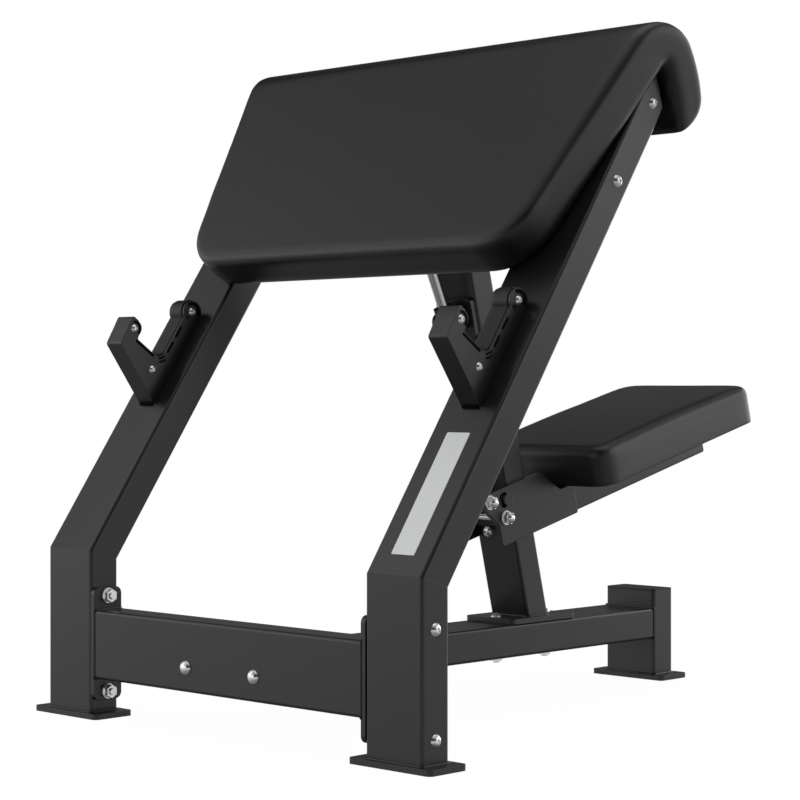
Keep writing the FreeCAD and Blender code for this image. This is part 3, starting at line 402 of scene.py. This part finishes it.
def puffUp(bm, settings):
    # fullness over the plain solid, in front of the plane that the cushion rests on
    axis, side, level = settings["seatPlane"]
    low = Vector([min(v.co[i] for v in bm.verts) for i in range(3)])
    high = Vector([max(v.co[i] for v in bm.verts) for i in range(3)])
    pivot = Vector([low[i] + (high[i] - low[i]) * settings["anchor"][i] for i in range(3)])
    pivot[axis] = level
    front = low[axis] if side > 0 else high[axis]
    grow = Vector([1 + settings["puff"][i] / (high[i] - low[i]) for i in range(3)])
    grow[axis] = 1
    bmesh.ops.scale(bm, vec=grow, space=Matrix.Translation(-pivot), verts=bm.verts)
    for vertex in bm.verts:                       # past the plane, so that the edge on it stays crisp
        if isHeld(vertex.co, settings, settings["planeDepth"]):
            vertex.co[axis] += settings["overrun"] * side
    deep = Vector((1, 1, 1))
    deep[axis] = 1 + settings["puff"][axis] / abs(front - level)
    ahead = [v for v in bm.verts if (v.co[axis] - level) * side < 0]
    bmesh.ops.scale(bm, vec=deep, space=Matrix.Translation(-pivot), verts=ahead)


def evenWidth(verts, taper, back):
    # a tapering pad is made as wide all along for the remesh, so that its long edges follow the grid
    for vertex in verts:
        half = taper["half"] + taper["slope"] * (vertex.co.z - taper["at"])
        vertex.co.x *= half / taper["half"] if back else taper["half"] / half


def remeshed(settings):
    bm = bmesh.new()
    bm.from_mesh(nodes[settings["board"]].data)
    bmesh.ops.remove_doubles(bm, verts=bm.verts, dist=settings["merge"])
    bm.normal_update()
    for vertex in bm.verts:                       # the board's place is filled
        vertex.co += vertex.normal * settings["fillOver"]
    bm.from_mesh(nodes[settings["node"]].data)
    bmesh.ops.remove_doubles(bm, verts=bm.verts, dist=settings["merge"])
    bmesh.ops.transform(bm, matrix=settings["turn"].inverted().to_4x4(), verts=bm.verts)
    puffUp(bm, settings)
    if "taper" in settings:
        evenWidth(bm.verts, settings["taper"], False)
    holder = bpy.data.objects.new(settings["name"] + "_blank", toMesh(bm, settings["name"]))
    scene.collection.objects.link(holder)
    grid = holder.modifiers.new("grid", "REMESH")
    grid.mode = "VOXEL"
    grid.voxel_size = settings["voxel"]
    made = bpy.data.meshes.new_from_object(holder.evaluated_get(bpy.context.evaluated_depsgraph_get()))
    bpy.data.objects.remove(holder)
    if "taper" in settings:
        evenWidth(made.vertices, settings["taper"], True)
    return made


def flatten(mesh, settings):
    axis, side, level = settings["seatPlane"]
    for vertex in mesh.vertices:
        if isHeld(vertex.co, settings, 0):
            vertex.co[axis] = level


def curlLip(mesh, curl):
    # the hanging lip tucks in towards its end, its outer side most
    out = Vector((0, -curl["along"].z, curl["along"].y))
    for vertex in mesh.vertices:
        spot = vertex.co - curl["root"]
        share = (spot.dot(curl["along"]) - curl["start"]) / (curl["end"] - curl["start"])
        share = min(max(share, 0), 1)
        depth = min(max(-spot.dot(out) / curl["thick"], 0), 1)
        if spot.y > curl["behind"]:
            vertex.co -= out * curl["shift"] * share ** 2 * (1 - depth * curl["taper"])
            vertex.co -= curl["along"] * curl["pull"] * share ** 2


def swell(mesh, settings):
    rest = [v.co.copy() for v in mesh.vertices]
    normals = [v.normal.copy() for v in mesh.vertices]
    holder = bpy.data.objects.new(settings["name"] + "_foam", mesh)
    scene.collection.objects.link(holder)
    group = holder.vertex_groups.new(name="held")
    held = [i for i, spot in enumerate(rest) if isHeld(spot, settings, settings["heldDepth"])]
    group.add(held, 1.0, "REPLACE")
    cloth = holder.modifiers.new("cover", "CLOTH")
    cloth.settings.quality = settings["quality"]
    cloth.settings.use_pressure = True
    cloth.settings.uniform_pressure_force = settings["pressure"]
    cloth.settings.vertex_group_mass = "held"
    cloth.settings.effector_weights.gravity = 0
    cloth.point_cache.frame_start = 1
    cloth.point_cache.frame_end = settings["frames"]
    for number in range(1, settings["frames"] + 1):
        scene.frame_set(number)
    grown = holder.evaluated_get(bpy.context.evaluated_depsgraph_get()).data.vertices
    lift = numpy.array([(v.co - start).dot(way) for v, start, way in zip(grown, rest, normals)])
    print("swell before it is evened, mm:", numpy.round([lift.min() * 1000, lift.max() * 1000], 1))
    lift[held] = 0
    size = len(rest)
    first, second = numpy.array([edge.vertices[:] for edge in mesh.edges]).T
    count = numpy.bincount(first, minlength=size) + numpy.bincount(second, minlength=size)
    for i in range(settings["even"]):             # taut vinyl: the swell is evened out over the cover
        near = numpy.bincount(first, lift[second], size) + numpy.bincount(second, lift[first], size)
        lift = (lift + near / count) / 2
        lift[held] = 0
    lift = settings["cap"] * numpy.tanh(lift / settings["cap"])
    lift = numpy.maximum(lift, -settings["drawIn"])
    for vertex, start, way, far in zip(mesh.vertices, rest, normals, lift):
        vertex.co = start + way * float(far)
    scene.frame_set(1)
    bpy.data.objects.remove(holder)


def makeCushion(settings):
    mesh = remeshed(settings)
    bm = bmesh.new()
    bm.from_mesh(mesh)
    for i in range(settings["smoothing"]):
        bmesh.ops.smooth_vert(bm, verts=bm.verts, factor=settings["smoothShare"],
                              use_axis_x=True, use_axis_y=True, use_axis_z=True)
    bm.to_mesh(mesh)
    bm.free()
    if "curl" in settings:
        curlLip(mesh, settings["curl"])
    swell(mesh, settings)
    flatten(mesh, settings)
    mesh.transform(settings["turn"].to_4x4())
    piece = addPiece(settings["name"], mesh, settings["body"], "pad_vinyl")
    fine = piece.modifiers.new("fine", "SUBSURF")
    fine.levels = 1
    fine.render_levels = 1
    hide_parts(settings["node"])
    print("cushion:", settings["name"], len(mesh.vertices), "points")


def boardFace(node, turn, axis, side, gap):
    # the plane that a cushion rests on: its board's outer face, less a small gap
    ends = [(turn.inverted() @ v.co)[axis] * side for v in nodes[node].data.vertices]
    return (axis, side, (max(ends) - gap) * side)


def boardTop(node, turn, over):
    return max((turn.inverted() @ v.co).z for v in nodes[node].data.vertices) + over


# what both cushions share, in metres
padding = {
    "merge": 0.00002, "fillOver": 0.001, "planeDepth": 0.001, "overrun": 0.004, "voxel": 0.005,
    "smoothShare": 0.5, "gap": 0.0003, "heldDepth": 0.004, "flatDepth": 0.010,
    "quality": 5, "pressure": 4.0, "frames": 12, "drawIn": 0.0005,
}
armPad = {
    **padding,
    "name": "arm_pad_cover", "node": "arm_pad_cushion", "board": "arm_pad_board", "body": "frame",
    "turn": mastTurn, "smoothing": 3, "even": 120, "cap": 0.002, "fill": 0.9,
    "anchor": (0.5, 0, 0.3), "puff": (0.004, 0.0045, 0.003),      # added over the whole of each side
    "seatPlane": boardFace("arm_pad_board", mastTurn, 1, 1, padding["gap"]),
    "flatUpTo": boardTop("arm_pad_board", mastTurn, 0.008),       # the lip goes on behind the masts
    "taper": {"half": 0.3408, "slope": 0.2064, "at": 0.4349},
    "curl": {"root": Vector((0, -0.5736, 0.738)), "along": Vector((0, 0.918, -0.396)),
             "behind": 0.010, "start": 0.015, "end": 0.117, "shift": 0.022, "pull": 0.010,
             "thick": 0.054, "taper": 0.85},
}
seatPad = {
    **padding,
    "name": "seat_cover", "node": "seat_cushion", "board": "seat_board", "body": "seat_carriage",
    "turn": postTurn, "smoothing": 1, "even": 80, "cap": 0.001, "fill": 0.85,
    "anchor": (0.5, 0, 0), "puff": (0.006, 0.018, 0.0035),
    "seatPlane": boardFace("seat_board", postTurn, 2, -1, padding["gap"]),
    "flatUpTo": boardTop("seat_board", postTurn, 0.0),
}
for pad in (armPad, seatPad):
    makeCushion(pad)


# weld beads where a tube's end meets a plate
welds = {
    "radius": 0.0017, "step": 0.0040, "ripple": 0.03, "sides": 8, "slice": 0.001,
    "ends": [
        # tube, axis along it, which end, turn
        ("left_leg", 2, min, flatTurn), ("right_leg", 2, min, flatTurn),
        ("rear_foot", 2, min, flatTurn),
        ("lower_crossbeam", 0, min, flatTurn), ("lower_crossbeam", 0, max, flatTurn),
        ("upper_crossbeam", 0, min, mastTurn), ("upper_crossbeam", 0, max, mastTurn),
        ("base_beam", 1, min, flatTurn), ("base_beam", 1, max, flatTurn),
        ("seat_post", 2, min, flatTurn), ("seat_post", 1, min, mastTurn),
    ],
}


def endCorners(node, axis, end, turn):
    # the four corners of a tube's end, in the bench's own frame
    spots = [turn.inverted() @ v.co for v in nodes[node].data.vertices]
    level = end(spot[axis] for spot in spots)
    near = [spot for spot in spots if abs(spot[axis] - level) < welds["slice"]]
    first, second = [i for i in range(3) if i != axis]
    corners = []
    for pickFirst, pickSecond in ((min, min), (max, min), (max, max), (min, max)):
        corner = Vector((0, 0, 0))
        corner[axis] = level
        corner[first] = pickFirst(spot[first] for spot in near)
        corner[second] = pickSecond(spot[second] for spot in near)
        corners.append(turn @ corner)
    return corners


def weldRun(bm, start, end):
    run = end - start
    along = run.normalized()
    count = max(2, round(run.length / welds["step"]))
    ring = disc(bm, welds["sides"], welds["radius"])
    aim = along.to_track_quat("Z", "Y").to_matrix().to_4x4()
    bmesh.ops.transform(bm, matrix=Matrix.Translation(start) @ aim, verts=ring)
    face = ring[0].link_faces[0]
    for i in range(count):
        face = drawOut(bm, face, i > 0)
        middle = start + along * (run.length * (i + 1) / count)
        bmesh.ops.translate(bm, vec=middle - face.calc_center_median(), verts=face.verts)
        wanted = welds["radius"] * (1 + welds["ripple"] * (1 if i % 2 else -1))
        grow = wanted / (face.verts[0].co - middle).length
        bmesh.ops.scale(bm, vec=(grow, grow, grow), space=Matrix.Translation(-middle), verts=face.verts)


def makeWelds():
    bm = bmesh.new()
    for node, axis, end, turn in welds["ends"]:
        corners = endCorners(node, axis, end, turn)
        for start, stop in zip(corners, corners[1:] + corners[:1]):
            weldRun(bm, start, stop)
    bmesh.ops.recalc_face_normals(bm, faces=bm.faces)
    addPiece("frame_weld_beads", toMesh(bm, "frame_weld_beads"), "frame", "frame_powder_coat")


makeWelds()
print("tube ends welded:", len(welds["ends"]))


# hooks: squared tip caps, and near-black marks of painted shade along the slots, round the bolts and as
# a painted contact shadow under each hook, all in the masts' lean
hookTrim = {
    # millimetres: n behind the mast's front face, s up the mast
    "origin": (573.6, 99.9), "middle": 331.5, "half": 17.0, "proud": 0.35, "sink": 0.8,
    "tip": (-109.1, -95.5, 327.0, 343.3), "tipRound": 4.0, "tipSteps": 5,
    "tipOver": 0.12, "tipRake": 1.45,
    "bars": [(-83, -42, 313.9, 318.1), (-25.1, -20.9, 336, 356), (-25.1, -20.9, 365, 385)],
    "barRound": 1.8, "barSteps": 4,
    "strokes": [
        # n, s, radius, half width, from, sweep
        (-95.5, 328.7, 10.2, 2.0, -12, 150), (-18.4, 416.0, 12.6, 2.5, 10, 145),
        (-18.4, 416.0, 11.0, 0.9, 245, 30), (-18.4, 416.0, 14.4, 0.9, 243, 28),
        (-43.0, 336.0, 20.0, 1.4, -57, 36), (-43.0, 336.0, 25.5, 1.4, -55, 30),
    ],
    # the strip below the hook is a painted contact shadow
    "strokeSteps": 12, "contactShadow": (-3.5, 0.0, 254.4, 257.2), "contactShadowHalf": 14.0,
}


def mastSpot(n, s):
    behind, below = hookTrim["origin"]
    return Vector((0, n - behind, s - below)) / 1000


def mastBlock(bm, ends, near, far):
    first, second, low, high = ends
    verts = bmesh.ops.create_cube(bm, size=1)["verts"]
    size = Vector((far - near, second - first, high - low)) / 1000
    bmesh.ops.scale(bm, vec=size, verts=verts)
    middle = mastSpot((first + second) / 2, (low + high) / 2)
    middle.x = (near + far) / 2000
    bmesh.ops.translate(bm, vec=middle, verts=verts)
    return verts


def alongX(verts, wanted):
    # the edges that run from side to side and pass the test
    ends = [(edge, edge.verts[0].co, edge.verts[1].co) for edge in edgesOf(verts)]
    return [edge for edge, first, second in ends if abs(first.x - second.x) > closeBy and wanted(first)]


def mastStroke(bm, stroke, near, far):
    n, s, radius, half, start, sweep = stroke
    verts = bmesh.ops.create_grid(bm, x_segments=1, y_segments=1, size=0.5)["verts"]
    bmesh.ops.scale(bm, vec=((far - near) / 1000, half * 2 / 1000, 1), verts=verts)
    bmesh.ops.translate(bm, vec=((near + far) / 2000, radius / 1000, 0), verts=verts)
    place = Matrix.Translation(mastSpot(n, s)) @ Matrix.Rotation(math.radians(start), 4, "X")
    bmesh.ops.transform(bm, matrix=place, verts=verts)
    spinFace(bm, verts[0].link_faces[0], mastSpot(n, s), math.radians(sweep), hookTrim["strokeSteps"])


def tipCap(middle):
    bm = bmesh.new()
    over = hookTrim["half"] + hookTrim["tipOver"]
    verts = mastBlock(bm, hookTrim["tip"], middle - over, middle + over)
    front = min(v.co.y for v in verts) + closeBy
    top = max(v.co.z for v in verts) - closeBy
    for vertex in verts:                          # its front follows the rake of the tip
        if vertex.co.y < front and vertex.co.z < top:
            vertex.co.y += hookTrim["tipRake"] / 1000
    corner = alongX(verts, lambda spot: spot.y < front and spot.z > top)
    roundOff(bm, corner, hookTrim["tipRound"] / 1000, hookTrim["tipSteps"])
    return bm


def hookPaintedShade(middle):
    bm = bmesh.new()
    # dark slots and crescents of painted shade on both sides of the hook
    for way in (-1, 1):
        near, far = sorted((middle + way * (hookTrim["half"] - hookTrim["sink"]),
                            middle + way * (hookTrim["half"] + hookTrim["proud"])))
        for bar in hookTrim["bars"]:
            edges = alongX(mastBlock(bm, bar, near, far), lambda spot: True)
            roundOff(bm, edges, hookTrim["barRound"] / 1000, hookTrim["barSteps"])
        for stroke in hookTrim["strokes"]:
            mastStroke(bm, stroke, near, far)
    # a black strip below the hook: painted contact shadow
    mastBlock(bm, hookTrim["contactShadow"], middle - hookTrim["contactShadowHalf"], middle + hookTrim["contactShadowHalf"])
    return bm


for name, side in (("left_hook", -1), ("right_hook", 1)):
    middle = hookTrim["middle"] * side
    lean = mastTurn.to_4x4()
    addFitting(tipCap(middle), name + "_tip_cap", "frame", "frame_powder_coat", lean)
    painted_shade = addFitting(hookPaintedShade(middle), name + "_inlays", "frame", "black_plastic", lean)
    # the marks take the near-black painted shade finish
    painted_shade.data.materials[0] = finishes["matt_black"]
print("hooks trimmed")

# carriage window: a round boss on the plate stands over its rear part
windowBoss = {"centre": (0.0445, 0.0186, 0.3089), "radius": 0.0099, "deep": 0.0028, "sides": 48}


def makeWindowBoss():
    bm = bmesh.new()
    face = disc(bm, windowBoss["sides"], windowBoss["radius"])[0].link_faces[0]
    bmesh.ops.translate(bm, vec=(0, 0, windowBoss["deep"]), verts=drawOut(bm, face, False).verts)
    place = Matrix.Translation(windowBoss["centre"]) @ Matrix.Rotation(math.pi / 2, 4, "Y")
    addFitting(bm, "carriage_window_boss", "seat_carriage", "frame_powder_coat", place)


makeWindowBoss()

# lock knob: a neck, a fluted grip and a shallow dome, turned about the pin
lockKnob = {
    "axis": (0.0, 0.0601, 0.2758), "flutes": 12, "perFlute": 4, "fluteDeep": 0.08,
    "rings": [(0.0784, 0.0085), (0.0835, 0.0085), (0.0855, 0.0128), (0.0868, 0.0138),
              (0.0990, 0.0138), (0.1008, 0.0128), (0.1018, 0.0105), (0.1022, 0.0060)],
    "fluted": (2, 5),                             # first and last ring of the grip
}


def makeLockKnob():
    bm = bmesh.new()
    rings = lockKnob["rings"]
    first, last = lockKnob["fluted"]
    face = disc(bm, lockKnob["flutes"] * lockKnob["perFlute"], rings[0][1])[0].link_faces[0]
    bmesh.ops.translate(bm, vec=(0, 0, rings[0][0]), verts=face.verts)
    for i in range(1, len(rings)):
        away, radius = rings[i]
        face = drawOut(bm, face, i > 1)
        for vertex in face.verts:
            angle = math.atan2(vertex.co.y, vertex.co.x)
            dip = lockKnob["fluteDeep"] * (0.5 + 0.5 * math.cos(angle * lockKnob["flutes"]))
            size = radius * (1 - dip) if first <= i <= last else radius
            vertex.co = Vector((math.cos(angle) * size, math.sin(angle) * size, away))
    place = Matrix.Translation(lockKnob["axis"]) @ Matrix.Rotation(-math.pi / 2, 4, "Y")
    knob = addFitting(bm, "lock_pin_fluted_knob", "lock_pin", "black_plastic", place)
    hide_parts("lock_pin_knob")


makeLockKnob()

# the pin's spring: a round wire coil about the pin
pinSpring = {"middle": (0.0, 0.0601, 0.2758), "start": -0.0544, "span": 0.0190, "turns": 6, "steps": 20,
             "coilRadius": 0.00665, "wire": 0.0007, "sides": 8, "fixedEnd": -0.0741, "keep": 0.40}


def makePinSpring():
    bm = bmesh.new()
    middle = Vector(pinSpring["middle"])
    ring = disc(bm, pinSpring["sides"], pinSpring["wire"])
    first = Vector((pinSpring["start"], pinSpring["coilRadius"], 0))
    bmesh.ops.translate(bm, vec=middle + first, verts=ring)
    steps = pinSpring["turns"] * pinSpring["steps"]
    pitch = (-pinSpring["span"] / steps, 0, 0)
    spinFace(bm, ring[0].link_faces[0], middle, math.tau * pinSpring["turns"], steps, pitch)
    bmesh.ops.recalc_face_normals(bm, faces=bm.faces)
    coil = addPiece("lock_pin_coil", toMesh(bm, "lock_pin_coil"), "seat_carriage", "spring_steel")
    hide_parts("lock_pin_spring")
    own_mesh(coil)


makePinSpring()

# smooth domes on the two bolts in the lower crossbeam's front
frontDomes = {"acrossX": [-0.06974, 0.06976], "front": -0.5282, "height": 0.0920,
              "radius": 0.0103, "high": 0.0069, "around": 28, "rings": 12, "cut": 0.00001}


def makeFrontDomes():
    bm = bmesh.new()
    size = (frontDomes["radius"], frontDomes["radius"], frontDomes["high"])
    for x in frontDomes["acrossX"]:
        ball = bmesh.ops.create_uvsphere(bm, u_segments=frontDomes["around"],
                                         v_segments=frontDomes["rings"], radius=1)["verts"]
        bmesh.ops.scale(bm, vec=size, verts=ball)
        place = Matrix.Translation((x, frontDomes["front"], frontDomes["height"]))
        bmesh.ops.transform(bm, matrix=place @ Matrix.Rotation(math.pi / 2, 4, "X"), verts=ball)
    everything = list(bm.verts) + list(bm.edges) + list(bm.faces)
    halved = bmesh.ops.bisect_plane(bm, geom=everything, dist=frontDomes["cut"], clear_outer=True,
                                    plane_co=(0, frontDomes["front"], 0), plane_no=(0, 1, 0))
    rims = [item for item in halved["geom_cut"] if isinstance(item, bmesh.types.BMEdge)]
    bmesh.ops.holes_fill(bm, edges=rims, sides=0)
    addFitting(bm, "crossbeam_bolt_domes", "frame", "bright_fasteners", flatTurn.to_4x4())


makeFrontDomes()
print("fittings: window boss, lock knob, spring and bolt domes")


# vinyl hems folded over the boards' backs, held by a row of staples
hems = {
    "thick": 0.0010, "edge": 0.0003, "end": 0.014,
    "staple": (0.0105, 0.0013, 0.0008), "stapleEdge": 0.0002, "pitch": 0.028,
    "runs": [
        # name, body, turn, lowest and highest corner, axis and way out of the board, axis of the row
        ("arm_pad", "frame", mastTurn,
         (-0.225, -0.5735, 0.3875), (0.225, -0.5735, 0.4125), 1, 1, 0),
        ("seat_left", "seat_carriage", postTurn,
         (-0.1205, 0.262, 0.2773), (-0.094, 0.593, 0.2773), 2, -1, 1),
        ("seat_right", "seat_carriage", postTurn,
         (0.094, 0.262, 0.2773), (0.1205, 0.593, 0.2773), 2, -1, 1),
    ],
}


def block(bm, middle, size, edge):
    verts = bmesh.ops.create_cube(bm, size=1)["verts"]
    bmesh.ops.scale(bm, vec=size, verts=verts)
    bmesh.ops.translate(bm, vec=middle, verts=verts)
    roundOff(bm, edgesOf(verts), edge, 1)


def makeHem(name, body, turn, low, high, axis, way, row):
    low, high = Vector(low), Vector(high)
    middle = (low + high) / 2
    across = 3 - axis - row
    out = Vector((0, 0, 0))
    out[axis] = way * hems["thick"] / 2
    size = high - low
    size[axis] = hems["thick"]
    vinyl = bmesh.new()
    block(vinyl, middle + out, size, hems["edge"])
    wires = bmesh.new()
    wire = Vector((0, 0, 0))
    wire[row], wire[across], wire[axis] = hems["staple"]
    length = high[row] - low[row] - 2 * hems["end"]
    count = int(length / hems["pitch"])
    for i in range(count + 1):
        spot = middle + out * 2
        spot[row] = low[row] + hems["end"] + i * length / count
        block(wires, spot, wire, hems["stapleEdge"])
    addFitting(vinyl, name + "_hem", body, "pad_vinyl", turn.to_4x4())
    addFitting(wires, name + "_staples", body, "spring_steel", turn.to_4x4())


for run in hems["runs"]:
    makeHem(*run)
print("hems:", len(hems["runs"]))


# studio: white sweep, soft boxes, cards and flags that only reflections see
studio = {
    "ambient": 0.50, "azimuth": 43.971,
    "floorSize": 40.0, "floorDrop": 0.0004, "floorTone": 0.45, "floorLevel": 1.08, "floorGlow": 0.90,
    # reflections see the floor pale along it and dim from above
    "floorBlend": 0.5, "floorSheen": 3.0, "floorMirror": 0.88, "floorDim": 0.35,
    "cards": [
        # name, turn from the camera's side, distance, middle height, width, height, level
        ("camera_flag", 0, 4.6, 1.9, 8.0, 5.0, 0.0),
        ("low_back_flag", 180, 4.6, 0.35, 8.0, 1.9, 0.11),
        ("mid_back_flag", 180, 4.6, 2.1, 8.0, 1.6, 0.28),
        ("high_back_flag", 180, 4.6, 3.8, 8.0, 1.8, 0.0),
        ("right_card", 90, 5.0, 1.2, 7.0, 3.6, 0.46),
        ("right_back_card", 128, 4.4, 1.2, 3.6, 3.6, 2.4),
        ("low_left_card", -90, 5.0, 0.6, 7.0, 2.4, 1.15),
        ("high_left_card", -90, 5.0, 2.8, 7.0, 2.0, 0.10),
    ],
    "ceiling": [
        # name, middle, width, depth, level
        ("front_ceiling", (0, -4.0, 4.6), 18, 8.4, 0.36),
        ("left_back_ceiling", (-5.2, 4.4, 4.6), 8.0, 8.4, 0.0),
        ("right_back_ceiling", (3.8, 4.4, 4.6), 10.0, 8.4, 0.32),
    ],
    "boxes": [
        # name, place, size, level
        ("left_box", (-3.2, -3.0, 2.6), 3.0, 0.9),
        ("right_box", (3.6, 2.2, 2.2), 3.0, 1.0),
        ("top_box", (0.0, 0.2, 4.2), 3.4, 0.7),
    ],
}


def seenRays(paint):
    rays = paint.node("ShaderNodeLightPath", output="Is Camera Ray")
    return rays, rays.out("Is Glossy Ray").atLeast(rays.out("Is Transmission Ray"))


def makeWorld():
    world = bpy.data.worlds.new("white_studio")
    scene.world = world
    paint = Paint(world)
    camera, mirror = seenRays(paint)
    seen = camera.atLeast(mirror)
    level = seen + (1 - seen) * studio["ambient"]
    back = paint.node("ShaderNodeBackground", None, {"Color": grey(1), "Strength": level})
    paint.node("ShaderNodeOutputWorld", None, {"Surface": back})


def makeFloor():
    bm = bmesh.new()
    bmesh.ops.create_grid(bm, x_segments=1, y_segments=1, size=studio["floorSize"] / 2)
    bmesh.ops.translate(bm, vec=(0, 0, cadLow.z - studio["floorDrop"]), verts=bm.verts)
    floor = bpy.data.objects.new("floor", toMesh(bm, "floor"))
    scene.collection.objects.link(floor)
    paint = newPaint("white_floor")
    camera, mirror = seenRays(paint)
    plain = paint.node("ShaderNodeBsdfDiffuse", None, {"Color": grey(studio["floorTone"])})
    glow = paint.node("ShaderNodeEmission", None, {"Color": grey(1), "Strength": studio["floorLevel"]})
    facing = paint.node("ShaderNodeLayerWeight", None, {"Blend": studio["floorBlend"]}, "Facing")
    sheen = facing ** studio["floorSheen"]
    share = camera * studio["floorGlow"] + mirror * sheen * studio["floorMirror"]
    dark = paint.node("ShaderNodeBsdfDiffuse", None, {"Color": grey(0)})
    dim = mirror * studio["floorDim"]
    ground = paint.node("ShaderNodeMixShader", None, {0: dim, 1: plain, 2: dark})
    mixed = paint.node("ShaderNodeMixShader", None, {0: share, 1: ground, 2: glow})
    paint.node("ShaderNodeOutputMaterial", None, {"Surface": mixed})
    floor.data.materials.append(paint.owner)


def cardSheet(name, width, height, place, turn, level):
    bm = bmesh.new()
    bmesh.ops.create_grid(bm, x_segments=1, y_segments=1, size=0.5)
    bmesh.ops.scale(bm, vec=(width, height, 1), verts=bm.verts)
    bmesh.ops.transform(bm, matrix=Matrix.Translation(place) @ turn.to_4x4(), verts=bm.verts)
    card = bpy.data.objects.new(name, toMesh(bm, name))
    scene.collection.objects.link(card)
    paint = newPaint(name + "_cloth")
    shade = paint.node("ShaderNodeEmission", None, {"Color": grey(1), "Strength": level})
    paint.node("ShaderNodeOutputMaterial", None, {"Surface": shade})
    card.data.materials.append(paint.owner)
    card.visible_camera = False
    card.visible_diffuse = False
    card.visible_shadow = False


def makeCards():
    for name, turn, far, rise, width, height, level in studio["cards"]:
        angle = math.radians(studio["azimuth"] + turn)
        place = Vector((math.sin(angle) * far, -math.cos(angle) * far, rise))
        upright = Matrix.Rotation(angle, 3, "Z") @ Matrix.Rotation(math.pi / 2, 3, "X")
        cardSheet(name, width, height, place, upright, level)
    for name, place, width, depth, level in studio["ceiling"]:
        cardSheet(name, width, depth, Vector(place), flatTurn, level)


def makeLights():
    middle = (cadLow + cadHigh) / 2
    for name, place, size, level in studio["boxes"]:
        lamp = bpy.data.lights.new(name, "AREA")
        lamp.shape = "SQUARE"
        lamp.size = size
        lamp.energy = level * math.pi * size * size
        box = bpy.data.objects.new(name, lamp)
        scene.collection.objects.link(box)
        box.location = place
        box.rotation_euler = (middle - Vector(place)).to_track_quat("-Z", "Y").to_euler()


def makeCamera():
    view = {"place": (2.2557, -2.5108, 0.4832), "lens": 98.66, "sensor": 36, "rise": -0.0177}
    lens = bpy.data.cameras.new("photo_view")
    lens.lens = view["lens"]
    lens.sensor_width = view["sensor"]
    lens.shift_y = view["rise"]
    camera = bpy.data.objects.new("photo_view", lens)
    scene.collection.objects.link(camera)
    camera.location = view["place"]
    camera.rotation_euler = (math.pi / 2, 0, math.radians(studio["azimuth"]))
    scene.camera = camera


makeWorld()
makeFloor()
makeCards()
makeLights()
makeCamera()
scene.view_settings.view_transform = "Standard"
print("studio: floor, lights and camera")
